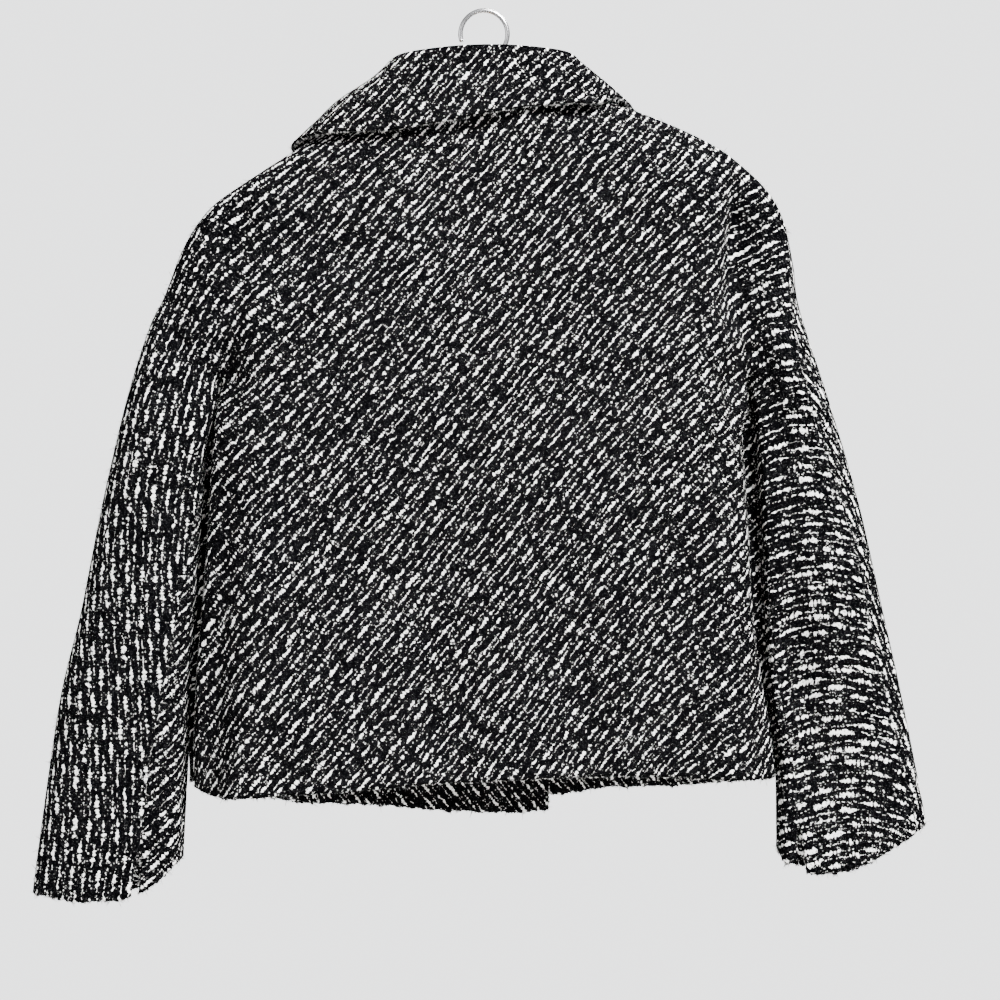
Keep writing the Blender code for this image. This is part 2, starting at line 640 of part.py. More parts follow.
def overarm_lines():
    """Where the right sleeve's over-arm seam and its outer edge lie, row by row down to the cuff."""
    outer = LINES["right_outer"]
    inner = LINES["right_inner"]
    seam = []
    edge = []
    for row in range(SLEEVE_ROWS + 1):
        down = row / SLEEVE_ROWS
        outer_height = UNDERARM + (across(RIGHT_CUFF, 0) - UNDERARM) * down
        inner_height = UNDERARM + (across(RIGHT_CUFF, 1) - UNDERARM) * down
        start = at_height(outer, outer_height)
        end = at_height(inner, inner_height)
        share = across(RIGHT_OVERARM_SEAM, outer_height) / abs(end - start)
        height = UNDERARM + (across(RIGHT_CUFF, share) - UNDERARM) * down
        seam.append((start + (end - start) * share, height))
        edge.append((start, outer_height))
    return seam, edge


def lapel_rows(side):
    """Rows from the break up to the collar seam, from the roll line out to the lapel's edge."""
    sign = 1 if side == "right" else -1
    low = np.array([-sign * OVERLAP, BREAK])
    top = np.array([sign * ROLL_TOP[0], ROLL_TOP[1] - SHORT_OF_COLLAR])
    tip = np.array([sign * LAPEL_TIP[0], LAPEL_TIP[1]])
    notch = np.array([sign * LAPEL_NOTCH[0], LAPEL_NOTCH[1] - SHORT_OF_COLLAR])
    belly = np.array([sign * LAPEL_BELLY[0], LAPEL_BELLY[1]])
    grid = []
    for up in np.linspace(0.0, 1, 9):
        roll = low + (top - low) * up
        edge = low + (tip - low) * up + belly * 4 * up * (1 - up)
        line = []
        for share in np.linspace(0, 1, 7):
            kink = notch - (top + (tip - top) * 0.5)
            bulge = kink * (share * 2 if share < 0.5 else 2 - share * 2)
            x, height = roll + (edge - roll) * share + bulge * up ** 4
            line.append((x, height, 1))
        grid.append(line)
    return grid


def collar(material, collection):
    """A stand that turns over at its top into the fall, as an open sheet with a wall."""
    rows = list(COLLAR.values())
    points, outward = form([row[0] for row in rows])
    necks = points - outward * WALL / 2 + np.array([0, 0, HOOK_HEIGHT + NECK_CLEARANCE])
    necks = curved(necks, 2)
    rolls = curved([row[1] for row in rows], 2)
    edges = []
    for _, _, (x, height, sheet) in rows:
        if sheet == 0:
            edges.append((x, 0.0, height))
            continue
        point, outward = form([(x, height, sheet)])
        point = point[0] + outward[0] * COLLAR_LIFT
        edges.append((point[0], point[1], point[2] + HOOK_HEIGHT))
    edges = curved(edges, 2)
    bm = bmesh.new()
    grid = []
    for neck, roll, edge in zip(necks, rolls, edges):
        stand = neck + (roll - neck) * np.array([0.25, 0.25, 0.55])
        mid = np.array([
            roll[0] + (edge[0] - roll[0]) * 0.55,
            roll[1] + (edge[1] - roll[1]) * 0.60,
            roll[2] + (edge[2] - roll[2]) * 0.38,
        ])
        line = [neck, stand, roll]
        for share in (0.12, 0.35, 0.65, 1.0):
            line.append((1 - share) ** 2 * roll + 2 * share * (1 - share) * mid + share ** 2 * edge)
        grid.append([(x, y, height - HOOK_HEIGHT) for x, y, height in line])
    add_patch(bm, grid)
    mesh = bpy.data.meshes.new("collar")
    bm.to_mesh(mesh)
    bm.free()
    mesh.shade_smooth()
    obj = new_object("collar", mesh, material, collection)
    wall = obj.modifiers.new("wall", "SOLIDIFY")
    wall.thickness = WALL
    wall.offset = 0
    return obj


def button(name, x, height, material, collection):
    """A turned button with a raised rim, flat against the right front."""
    points, outward = form([(x, height, 1)])
    spot = Vector(points[0]) + Vector(outward[0]) * (float(folded([(x, height, 1)])[0]) + 2 * GAP)
    mesh = bpy.data.meshes.new(name)
    bm = bmesh.new()
    verts = [bm.verts.new((radius, 0, rise)) for radius, rise in BUTTON_PROFILE]
    for before, after in zip(verts, verts[1:]):
        bm.edges.new((before, after))
    bm.to_mesh(mesh)
    bm.free()
    obj = new_object(name, mesh, material, collection)
    screw = obj.modifiers.new("turn", "SCREW")
    screw.steps = 20
    screw.render_steps = 20
    screw.use_merge_vertices = True
    screw.merge_threshold = 0.0001
    obj.location = spot
    obj.rotation_euler = Vector(outward[0]).to_track_quat("Z", "Y").to_euler()
    return obj


def tube(name, points, radius, sides, material, collection):
    """A round bar along points, with filled ends."""
    data = bpy.data.curves.new(name, "CURVE")
    data.dimensions = "3D"
    data.bevel_depth = radius
    data.bevel_resolution = sides
    data.use_fill_caps = True
    spline = data.splines.new("POLY")
    spline.points.add(len(points) - 1)
    for target, (x, y, height) in zip(spline.points, points):
        target.co = (x, y, height - HOOK_HEIGHT, 1)
    return new_object(name, data, material, collection)


def hanger_arms(material, collection):
    """A bar that follows the shoulders just below the cloth, and rises in the open neck."""
    clear = WALL + GAP + ARM_RADIUS + HANGER_ROOM
    sides = []
    for line in (LINES["left_outer"], LINES["right_outer"][::-1]):
        order = np.argsort(line[:, 0])
        x_line = line[order, 0]
        height_line = line[order, 1]
        places = np.linspace(HANGER_NECK, HANGER_TIP, 7) * np.sign(line[0, 0])
        heights = np.interp(places, x_line, height_line)
        slopes = (np.interp(places + 0.004, x_line, height_line) - heights) / 0.004
        drops = clear / np.hypot(1, slopes)
        sides.append([(x + slope * drop, 0.0, height - drop)
                      for x, height, slope, drop in zip(places, heights, slopes, drops)])
    points = sides[0][::-1] + [(x, 0.0, height) for x, height in HANGER_BOW] + sides[1]
    return tube("hanger", points, ARM_RADIUS, 3, material, collection)


def hanger_hook(material, collection):
    """A steel wire: straight up, out to one side and over the top in an arc."""
    centre = HOOK_HEIGHT + WIRE_RADIUS - HOOK_RADIUS
    start = HANGER_TOP + ARM_RADIUS + GAP
    points = [(x, 0.0, start + rise) for x, rise in HOOK_SHANK]
    for angle in HOOK_ARC:
        turn = math.radians(angle)
        points.append((HOOK_RADIUS * math.cos(turn), 0.0, centre + HOOK_RADIUS * math.sin(turn)))
    return tube("hanger_hook", points, WIRE_RADIUS, 2, material, collection)


def main():
    for obj in list(bpy.data.objects):
        bpy.data.objects.remove(obj)
    collection = bpy.data.collections.new(NAME)
    bpy.context.scene.collection.children.link(collection)
    materials = {}
    for name, (colour, roughness, metallic) in COLOURS.items():
        material = bpy.data.materials.new(name)
        material.use_nodes = True
        shader = material.node_tree.nodes["Principled BSDF"]
        shader.inputs["Base Color"].default_value = (*colour, 1)
        shader.inputs["Roughness"].default_value = roughness
        shader.inputs["Metallic"].default_value = metallic
        materials[name] = material
    tweed = materials["tweed"]
    cloth("back", back_pieces(), flat_lift, tweed, collection)
    cloth("left_front", front_pieces("left"), underlap, tweed, collection)
    cloth("right_front", front_pieces("right"), flat_lift, tweed, collection)
    left_under = under_rows("left", LEFT_UNDER_BACK, LEFT_UNDER_FRONT)
    right_under = under_rows("right", RIGHT_UNDER_BACK, RIGHT_UNDER_FRONT)
    cloth("left_under_sleeve", [left_under], flat_lift, tweed, collection, UNDER_SETBACK)
    cloth("right_under_sleeve", [right_under], flat_lift, tweed, collection, UNDER_SETBACK)
    cloth("left_lapel", [lapel_rows("left")], left_lapel_lift, tweed, collection)
    cloth("right_lapel", [lapel_rows("right")], right_lapel_lift, tweed, collection)
    collar(tweed, collection)
    for row, height in BUTTON_HEIGHTS.items():
        button("button_left_" + row, -BUTTON_X, height, materials["horn"], collection)
        button("button_right_" + row, BUTTON_X, height, materials["horn"], collection)
    hanger_arms(materials["wood"], collection)
    hanger_hook(materials["steel"], collection)


main()
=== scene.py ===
import math

import bmesh
import bpy
import numpy as np
from mathutils import Matrix, Vector


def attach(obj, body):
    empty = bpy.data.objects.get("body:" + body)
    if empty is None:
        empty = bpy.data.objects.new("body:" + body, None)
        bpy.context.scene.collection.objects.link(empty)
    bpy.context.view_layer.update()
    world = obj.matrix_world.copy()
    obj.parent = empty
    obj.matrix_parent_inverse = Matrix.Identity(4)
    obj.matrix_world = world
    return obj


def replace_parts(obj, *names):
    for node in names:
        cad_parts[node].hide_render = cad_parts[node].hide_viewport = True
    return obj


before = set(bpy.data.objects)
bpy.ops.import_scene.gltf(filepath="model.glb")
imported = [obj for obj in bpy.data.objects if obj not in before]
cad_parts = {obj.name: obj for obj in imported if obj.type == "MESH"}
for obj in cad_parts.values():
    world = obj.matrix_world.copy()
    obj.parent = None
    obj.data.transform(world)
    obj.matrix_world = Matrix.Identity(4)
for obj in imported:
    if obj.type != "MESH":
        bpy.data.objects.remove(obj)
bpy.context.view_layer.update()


# Shader maths written as expressions

def maths(operation, turned=False):
    def run(self, other):
        return self.run(operation, *((other, self) if turned else (self, other)))
    return run


class Wire:
    def __init__(self, shop, socket):
        self.shop = shop
        self.socket = socket

    def run(self, operation, *values):
        return self.shop.make("ShaderNodeMath", {"operation": operation}, dict(enumerate(values)))

    __add__, __radd__ = maths("ADD"), maths("ADD", True)
    __sub__, __rsub__ = maths("SUBTRACT"), maths("SUBTRACT", True)
    __mul__, __rmul__ = maths("MULTIPLY"), maths("MULTIPLY", True)
    __truediv__, most = maths("DIVIDE"), maths("MAXIMUM")

    def __abs__(self):
        return self.run("ABSOLUTE", self)

    def floor(self):
        return self.run("FLOOR", self)

    def sine(self):
        return self.run("SINE", self)

    def ramp(self, low, high):      # 0 below low, 1 above high, soft between
        sockets = {"Value": self, "From Min": low, "From Max": high}
        return self.shop.make("ShaderNodeMapRange", {"interpolation_type": "SMOOTHSTEP"}, sockets)


class Shop:
    def __init__(self, name):
        self.material = bpy.data.materials.new(name)
        self.material.use_nodes = True
        self.tree = self.material.node_tree
        self.shader = self.tree.nodes["Principled BSDF"]

    def make(self, kind, settings, sockets, output=0):
        node = self.tree.nodes.new(kind)
        for key, value in settings.items():
            setattr(node, key, value)
        for key, value in sockets.items():
            self.feed(node.inputs[key], value)
        return Wire(self, node.outputs[output])

    def feed(self, socket, value):
        if isinstance(value, Wire):
            self.tree.links.new(value.socket, socket)
        else:
            socket.default_value = value

    def point(self, x, y, z=0.0):
        return self.make("ShaderNodeCombineXYZ", {}, {"X": x, "Y": y, "Z": z})

    def noise(self, x, y, z, detail=0.0):
        sockets = {"Vector": self.point(x, y, z), "Scale": 1.0, "Detail": detail}
        return self.make("ShaderNodeTexNoise", {}, sockets)

    def parts(self, vector):
        node = self.make("ShaderNodeSeparateXYZ", {}, {"Vector": vector}).socket.node
        return [Wire(self, socket) for socket in node.outputs]

    def inObject(self):             # x, y and z in metres
        return self.parts(self.make("ShaderNodeTexCoord", {}, {}, "Object"))

    def inCut(self):                # lengths along and across the rows of the cloth as it was cut
        return self.parts(self.make("ShaderNodeUVMap", {"uv_map": "cut"}, {}))[:2]

    def chances(self, x, y, z):     # three random numbers of a cell
        return self.parts(self.make("ShaderNodeTexWhiteNoise", {}, {"Vector": self.point(x, y, z)}, 1))

    def cells(self, x, y):          # distance to the nearest scattered point, and its random numbers
        sockets = {"Vector": self.point(x, y), "Scale": 1.0}
        near = self.make("ShaderNodeTexVoronoi", {"voronoi_dimensions": "2D"}, sockets)
        return near, Wire(self, near.socket.node.outputs["Color"])

    def blend(self, share, first, second):
        return self.make("ShaderNodeMix", {"data_type": "RGBA"}, {0: share, 6: first, 7: second}, 2)

    def bump(self, height, distance, strength=1.0):
        sockets = {"Height": height, "Distance": distance, "Strength": strength}
        return self.make("ShaderNodeBump", {}, sockets)

    def finish(self, **sockets):
        names = {"colour": "Base Color", "roughness": "Roughness", "metallic": "Metallic", "normal": "Normal",
                 "sheen": "Sheen Weight", "coat": "Coat Weight", "coatRoughness": "Coat Roughness",
                 "specular": "Specular IOR Level"}
        for key, value in sockets.items():
            self.feed(self.shader.inputs[names[key]], value)
        return self.material


# The coat's cut, in metres: x from the wearer's left (-) to right (+), heights from the back hem up

coat = {
    "hookHeight": 0.652, "underarm": 0.337, "overlap": 0.056, "breakHeight": 0.395,
    "wall": 0.003, "layer": 0.0047, "armholeX": 0.223, "bodyEdge": 0.068, "sleeveEdge": 0.47,
    "sleeveLead": 0.018, "vent": 0.034, "ventOver": 0.012, "ventWidth": 0.0032, "neckDip": 0.0105,
    "turnUp": 0.042, "facing": 0.085, "leftSlot": 0.0045, "rightSlot": 0.0110, "sleeveSlot": 0.0020,
    "sideLap": 0.0022, "sideLapOver": 0.014, "sideLapStart": 0.020, "cuffReach": 0.003,
    "sleeveColumns": 40, "sleeveRows": 120, "bodyRows": 96, "bodySides": 26, "bodyMiddle": 72,
    "lapMiddle": 66, "yokeRows": 76, "underColumns": 14, "overarmColumns": 10, "overarmTurn": 10,
}

outline = {
    "leftOuter": [
        (-0.075, 0.580), (-0.118, 0.560), (-0.160, 0.535), (-0.199, 0.510), (-0.229, 0.489),
        (-0.246, 0.468), (-0.258, 0.446), (-0.271, 0.412), (-0.284, 0.385), (-0.303, 0.325),
        (-0.324, 0.238), (-0.344, 0.142), (-0.364, 0.060), (-0.387, -0.096), (-0.390, -0.140)],
    "leftInner": [
        (-0.2225, 0.337), (-0.2265, 0.312), (-0.2325, 0.280), (-0.2358, 0.238), (-0.2415, 0.170),
        (-0.2480, 0.100), (-0.2522, 0.030), (-0.2575, -0.065), (-0.2600, -0.140)],
    "leftSide": [
        (-0.2225, 0.337), (-0.2259, 0.312), (-0.2318, 0.280), (-0.2351, 0.238), (-0.2408, 0.170),
        (-0.2473, 0.100), (-0.2504, 0.030), (-0.2500, -0.002), (-0.2520, -0.080)],
    "rightOuter": [
        (0.075, 0.583), (0.115, 0.573), (0.160, 0.556), (0.200, 0.536), (0.229, 0.513),
        (0.246, 0.493), (0.256, 0.470), (0.263, 0.435), (0.268, 0.400), (0.292, 0.325),
        (0.318, 0.238), (0.339, 0.148), (0.357, 0.070), (0.379, -0.039), (0.392, -0.120)],
    "rightInner": [
        (0.2240, 0.337), (0.2262, 0.312), (0.2314, 0.238), (0.2348, 0.178), (0.2377, 0.109),
        (0.2418, 0.066), (0.2487, 0.015), (0.2502, -0.060), (0.2512, -0.120)],
    "rightSide": [
        (0.2240, 0.337), (0.2256, 0.312), (0.2307, 0.238), (0.2341, 0.178), (0.2370, 0.109),
        (0.2408, 0.063), (0.2474, 0.015), (0.2480, 0.002), (0.2490, -0.080)],
}

change = {      # the form's change from body to sleeve, beside the armhole's line
    "inside": 0.045, "lowest": -0.10, "outwards": 0.028, "width": 0.060, "shoulderRise": 0.14, "leadOver": 0.43,
}

parting = {     # the body pulled apart from the sleeves below the underarm, and how square its sides are
    "opensOver": 0.060, "reach": 0.060, "frontShare": 0.25, "closing": 0.75, "closesFrom": 0.17, "closesOver": 0.13,
    "round": 2, "bodySquare": 5.0, "sleeveSquare": 3.0, "squareReach": 0.075, "seamDepth": 1.3, "seamOver": 0.001,
}

depths = {      # height: (back, front), how far each sheet stands out from the middle
    "body": {-0.02: (0.052, 0.058), 0.17: (0.048, 0.056), 0.38: (0.045, 0.052), 0.50: (0.042, 0.047),
             0.58: (0.041, 0.045)},
    "sleeve": {-0.09: (0.027, 0.027), 0.15: (0.030, 0.032), 0.34: (0.033, 0.036), 0.48: (0.036, 0.040)},
}

hems = {
    "leftCuff": [(0.0, -0.096), (0.3, -0.102), (0.62, -0.100), (0.75, -0.094), (0.86, -0.085), (1.0, -0.066)],
    "rightCuff": [(0.0, -0.038), (0.16, -0.050), (0.40, -0.069), (0.62, -0.077), (0.82, -0.078), (0.86, -0.071),
                  (0.97, -0.068), (1.0, -0.058)],
    "back": [(-0.250, 0.004), (-0.245, -0.004), (-0.235, -0.009), (-0.222, -0.010), (-0.175, -0.008),
             (-0.130, -0.004), (-0.085, -0.001), (-0.030, 0.004), (0.050, 0.008), (0.140, 0.010), (0.247, 0.004)],
    "leftFront": [(-0.250, -0.002), (-0.220, -0.016), (-0.160, -0.025), (-0.090, -0.0275), (-0.030, -0.032),
                  (0.030, -0.034), (0.056, -0.031)],
    "rightFront": [(-0.056, -0.023), (0.000, -0.021), (0.066, -0.018), (0.110, -0.012), (0.180, -0.0095),
                   (0.215, -0.007), (0.247, 0.004)],
}

seams = {       # (height, distance in from the sleeve's edge)
    "none": [(0.0, 0.0)],
    "overarm": [(-0.05, 0.009), (0.10, 0.016), (0.20, 0.017), (0.33, 0.022), (0.42, 0.009), (0.470, 0.0)],
    "leftUnderBack": [(-0.09, 0.040), (0.03, 0.031), (0.10, 0.021), (0.17, 0.011), (0.24, 0.003), (0.337, 0.0)],
    "leftUnderFront": [(-0.09, 0.038), (0.10, 0.034), (0.25, 0.020), (0.337, 0.0)],
    "rightUnderBack": [(-0.08, 0.021), (0.03, 0.013), (0.10, 0.008), (0.17, 0.004), (0.24, 0.0012), (0.337, 0.0)],
    "rightUnderFront": [(-0.08, 0.046), (0.10, 0.038), (0.25, 0.020), (0.337, 0.0)],
}

corners = {
    "left": {"corner": (-0.246, 0.468), "sleeveTop": (-0.199, 0.510), "neck": (-0.075, 0.580)},
    "right": {"corner": (0.256, 0.470), "sleeveTop": (0.200, 0.536), "neck": (0.075, 0.583)},
}

folds = {       # the deep folds of each sheet, back -1 and front 1: from, to, width, depth
    -1: [
        ((0.232, 0.485), (0.222, 0.340), 0.020, -0.010), ((-0.205, 0.470), (-0.221, 0.345), 0.018, -0.007),
        ((-0.270, 0.400), (-0.248, 0.330), 0.014, -0.006), ((-0.205, 0.455), (-0.100, 0.420), 0.024, -0.005),
        ((0.245, 0.300), (0.262, 0.080), 0.016, -0.006), ((0.010, 0.120), (0.035, -0.010), 0.040, 0.006),
        ((-0.110, 0.170), (-0.150, -0.010), 0.038, -0.005), ((0.165, 0.200), (0.175, -0.010), 0.036, -0.004),
    ],
    1: [
        ((0.230, 0.480), (0.221, 0.345), 0.020, -0.009), ((-0.218, 0.465), (-0.221, 0.345), 0.018, -0.008),
        ((-0.150, 0.180), (-0.172, -0.020), 0.034, -0.005), ((0.140, 0.210), (0.165, -0.015), 0.036, -0.005),
        ((-0.262, 0.300), (-0.275, 0.090), 0.015, -0.005),
    ],
}

creases = {     # the same for the soft creases in the cloth, which fade out at both ends
    -1: [
        ((-0.275, 0.395), (-0.240, 0.345), 0.007, -0.0030), ((-0.290, 0.350), (-0.243, 0.300), 0.008, -0.0022),
        ((-0.262, 0.440), (-0.236, 0.350), 0.008, 0.0020), ((-0.300, 0.270), (-0.246, 0.235), 0.010, -0.0016),
        ((-0.315, 0.190), (-0.262, 0.150), 0.012, 0.0014), ((-0.345, 0.090), (-0.290, 0.075), 0.012, -0.0015),
        ((0.236, 0.400), (0.282, 0.350), 0.008, -0.0026), ((0.240, 0.350), (0.300, 0.295), 0.010, 0.0022),
        ((0.246, 0.290), (0.312, 0.235), 0.009, -0.0020), ((0.250, 0.200), (0.325, 0.175), 0.012, 0.0016),
        ((0.262, 0.120), (0.340, 0.098), 0.011, -0.0015), ((0.200, 0.520), (0.214, 0.420), 0.010, 0.0024),
        ((0.190, 0.440), (0.212, 0.350), 0.012, 0.0020), ((0.180, 0.330), (0.208, 0.250), 0.013, -0.0016),
        ((-0.180, 0.500), (-0.206, 0.420), 0.010, 0.0020), ((-0.190, 0.420), (-0.212, 0.345), 0.011, 0.0018),
        ((-0.150, 0.470), (-0.060, 0.445), 0.012, -0.0016), ((-0.205, 0.250), (-0.196, 0.070), 0.014, -0.0020),
        ((-0.040, 0.300), (-0.022, 0.030), 0.022, -0.0018), ((0.070, 0.180), (0.090, 0.000), 0.020, -0.0020),
        ((0.035, 0.108), (0.140, 0.112), 0.012, -0.0013), ((0.120, 0.420), (0.135, 0.250), 0.024, 0.0020),
        ((-0.060, 0.430), (0.050, 0.410), 0.020, 0.0015), ((0.234, 0.545), (0.210, 0.380), 0.018, -0.0170),
        ((0.222, 0.510), (0.217, 0.370), 0.018, -0.0120), ((0.217, 0.420), (0.2195, 0.270), 0.014, -0.0060),
        ((0.256, 0.490), (0.252, 0.310), 0.012, 0.0080), ((-0.262, 0.430), (-0.226, 0.330), 0.010, -0.0040),
        ((-0.200, 0.470), (-0.085, 0.435), 0.020, -0.0040), ((0.264, 0.160), (0.274, -0.010), 0.018, -0.0100),
        ((0.305, 0.330), (0.330, 0.020), 0.022, 0.0040), ((-0.050, 0.300), (-0.020, -0.060), 0.050, -0.0100),
        ((0.060, 0.230), (0.080, -0.050), 0.045, -0.0070), ((0.190, 0.240), (0.205, -0.060), 0.030, 0.0050),
        ((-0.230, 0.280), (-0.238, -0.060), 0.024, -0.0090), ((-0.266, 0.240), (-0.276, -0.070), 0.018, 0.0050),
    ],
    1: [
        ((-0.275, 0.395), (-0.240, 0.345), 0.008, -0.0028), ((-0.240, 0.350), (-0.298, 0.295), 0.010, 0.0022),
        ((-0.246, 0.290), (-0.310, 0.240), 0.009, -0.0020), ((-0.255, 0.150), (-0.330, 0.120), 0.012, -0.0016),
        ((0.236, 0.395), (0.280, 0.345), 0.008, -0.0028), ((0.240, 0.340), (0.302, 0.290), 0.010, 0.0020),
        ((0.250, 0.240), (0.320, 0.205), 0.010, -0.0020), ((0.262, 0.110), (0.340, 0.090), 0.012, -0.0015),
        ((-0.190, 0.480), (-0.212, 0.380), 0.011, 0.0020), ((0.192, 0.490), (0.212, 0.390), 0.011, 0.0020),
        ((-0.190, 0.300), (-0.200, 0.080), 0.014, -0.0018), ((0.185, 0.320), (0.198, 0.090), 0.014, -0.0018),
        ((0.110, 0.200), (0.090, -0.010), 0.018, -0.0016), ((-0.100, 0.220), (-0.085, 0.000), 0.018, -0.0016),
    ],
}


def curved(points, samples=8):      # a smooth line through the given points
    given = np.array(points, float)
    padded = np.vstack([2 * given[0] - given[1], given, 2 * given[-1] - given[-2]])
    steps = np.linspace(0, 1, samples, endpoint=False)[:, None]
    parts = []
    for before, start, end, after in zip(padded, padded[1:], padded[2:], padded[3:]):
        bend = 2 * before - 5 * start + 4 * end - after
        twist = -before + 3 * start - 3 * end + after
        parts.append(start + 0.5 * steps * ((end - before) + steps * (bend + steps * twist)))
    return np.vstack(parts + [given[-1:]])


def across(table, place):
    rows = sorted(table)
    return np.interp(place, [row[0] for row in rows], [row[1] for row in rows])


def atHeight(line, height):
    return np.interp(height, line[::-1, 1], line[::-1, 0])


def eased(value):
    value = np.clip(value, 0, 1)
    return value * value * (3 - 2 * value)


lines = {name: curved(points) for name, points in outline.items()}
walls = [       # the same lines, each with the cloth on its left
    lines["leftOuter"],
    np.vstack([lines["leftInner"][::-1], lines["leftSide"][1:]]),
    np.vstack([lines["rightSide"][::-1], lines["rightInner"][1:]]),
    lines["rightOuter"][::-1],
]


def insideDistance(x, height):      # distance in from the outline, and which way it grows
    points = np.column_stack([x, height])
    nearest = np.full(len(points), 9.0)
    signed = np.zeros(len(points))
    inward = np.zeros((len(points), 2))
    rows = np.arange(len(points))
    for line in walls:
        start = line[:-1]
        step = line[1:] - start
        normal = np.column_stack([-step[:, 1], step[:, 0]]) / np.linalg.norm(step, axis=1)[:, None]
        offset = points[:, None, :] - start
        share = np.clip((offset * step).sum(2) / (step * step).sum(1), 0, 1)
        gap = offset - share[:, :, None] * step
        miss = np.linalg.norm(gap, axis=2)
        pick = miss.argmin(1)
        best = miss[rows, pick]
        at = share[rows, pick]
        before = normal[np.maximum(pick - 1, 0)] + normal[pick]
        after = normal[np.minimum(pick + 1, len(step) - 1)] + normal[pick]
        facing = np.where((at <= 0)[:, None], before, np.where((at >= 1)[:, None], after, normal[pick]))
        gap = gap[rows, pick]
        side = np.where((gap * facing).sum(1) < 0, -1.0, 1.0)
        unit = np.where((best > 1e-6)[:, None], gap / np.maximum(best, 1e-9)[:, None] * side[:, None], normal[pick])
        closer = best < nearest
        nearest = np.where(closer, best, nearest)
        signed = np.where(closer, side * best, signed)
        inward = np.where(closer[:, None], unit, inward)
    return signed, inward


def depthOf(table, height, sheet):
    heights = sorted(table)
    back = np.interp(height, heights, [table[key][0] for key in heights])
    front = np.interp(height, heights, [table[key][1] for key in heights])
    return np.where(sheet < 0, back, front)


def sleeveShare(x, height):         # 1 in the sleeves, 0 in the body
    shift = np.interp(height, [change["lowest"], coat["underarm"]], [change["outwards"], 0.0])
    return eased((np.abs(x) - (coat["armholeX"] - change["inside"] + shift)) / change["width"])


def swell(x, height, sheet, reach):
    share = sleeveShare(x, height)
    low = np.minimum(height, coat["underarm"])
    left = atHeight(lines["leftInner"], low) - atHeight(lines["leftOuter"], low)
    right = atHeight(lines["rightOuter"], low) - atHeight(lines["rightInner"], low)
    narrow = coat["sleeveEdge"] * np.where(x < 0, left, right)
    narrow = narrow + (coat["bodyEdge"] - narrow) * eased((height - coat["underarm"]) / change["shoulderRise"])
    edge = coat["bodyEdge"] + (narrow - coat["bodyEdge"]) * share
    deep = depthOf(depths["body"], height, sheet)
    deep = deep + (depthOf(depths["sleeve"], height, sheet) - deep) * share
    inner = np.where(x < 0, atHeight(lines["leftInner"], low), atHeight(lines["rightInner"], low))
    apart = eased((coat["underarm"] - height) / parting["opensOver"])
    slot = np.where(x < 0, coat["leftSlot"], coat["rightSlot"]) * np.where(sheet < 0, 1, parting["frontShare"])
    lowDown = eased((parting["closesFrom"] - height) / parting["closesOver"])
    slot = slot * (1 - parting["closing"] * lowDown * (x > 0))
    body = np.abs(x) < np.abs(inner)
    slot = np.where(body, slot, coat["sleeveSlot"])
    slot = slot * eased(1 - np.abs(x - inner) / parting["reach"]) * apart
    square = np.where(body, parting["bodySquare"], parting["sleeveSquare"])
    power = parting["round"] + square * eased(1 - np.abs(x - inner) / parting["squareReach"]) * apart
    past = 1 - np.exp(-np.maximum(reach, 0) / parting["seamOver"])
    seam = coat["wall"] * parting["seamDepth"] * past * (slot > 0)
    reach = np.where(slot > 0, np.maximum(reach - slot, 0), reach)
    ratio = np.minimum(reach / edge, 1)
    full = 1 - np.abs(1 - ratio) ** power
    return deep ** 2 * np.sign(full) * np.abs(full) ** (2 / power) + seam ** 2


def middleY(x, height):
    return coat["sleeveLead"] * sleeveShare(x, height) * eased((coat["underarm"] - height) / change["leadOver"])


def form(places):                   # points of the hanging form, and its outward directions
    x, height, sheet = np.array(places, float).T
    reach, inward = insideDistance(x, height)
    y = middleY(x, height) + sheet * np.sqrt(np.maximum(swell(x, height, sheet, reach), 0))
    step = 0.0005

    def level(shiftX, shiftHeight):
        there = (x + shiftX, height + shiftHeight)
        moved = reach + inward[:, 0] * shiftX + inward[:, 1] * shiftHeight
        return (y - middleY(*there)) ** 2 - swell(*there, sheet, moved)

    outward = np.column_stack([
        level(step, 0) - level(-step, 0),
        4 * step * (y - middleY(x, height)),
        level(0, step) - level(0, -step),
    ])
    outward /= np.linalg.norm(outward, axis=1)[:, None]
    return np.column_stack([x, y, height - coat["hookHeight"]]), outward, reach


creasing = {"bluntness": 0.8, "edgeFade": 0.020}


def folded(places, reach):
    x, height, sheet = np.array(places, float).T
    total = np.zeros(len(x))
    for table, side, fades in ((folds, -1, False), (folds, 1, False), (creases, -1, True), (creases, 1, True)):
        for start, end, width, depth in table[side]:
            run = np.subtract(end, start)
            offset = np.column_stack([x - start[0], height - start[1]])
            along = offset @ run / (run @ run)
            share = np.clip(along, 0, 1)
            miss = np.linalg.norm(offset - share[:, None] * run, axis=1)
            amount = depth * np.exp(-(miss / width) ** 2)
            if fades:
                amount = amount * np.sin(np.pi * share) ** creasing["bluntness"]
            total += np.where(sheet * side > 0, amount, 0)
    return total * np.clip(reach / creasing["edgeFade"], 0, 1)


waves = {"count": 9, "spread": (0.6, 1.6), "phase": 6.3, "level": 3.2}


def ripples(points, size, seed):    # smooth unevenness from a few crossing waves, about -1 to 1
    rng = np.random.RandomState(seed)
    total = np.zeros(len(points))
    for _ in range(waves["count"]):
        direction = rng.normal(size=3)
        direction /= np.linalg.norm(direction)
        turns = points @ direction * (2 * math.pi / size) * rng.uniform(*waves["spread"])
        total += np.sin(turns + rng.uniform(0, waves["phase"]))
    return total / waves["level"]


# Laying out the panels as rows of places (x, height, sheet)

def shared(values, count):
    return np.linspace(values[0], values[1], count + 1)


def angleAt(distance, width):
    return math.degrees(math.acos(1 - 2 * min(max(distance / width, 0), 1)))


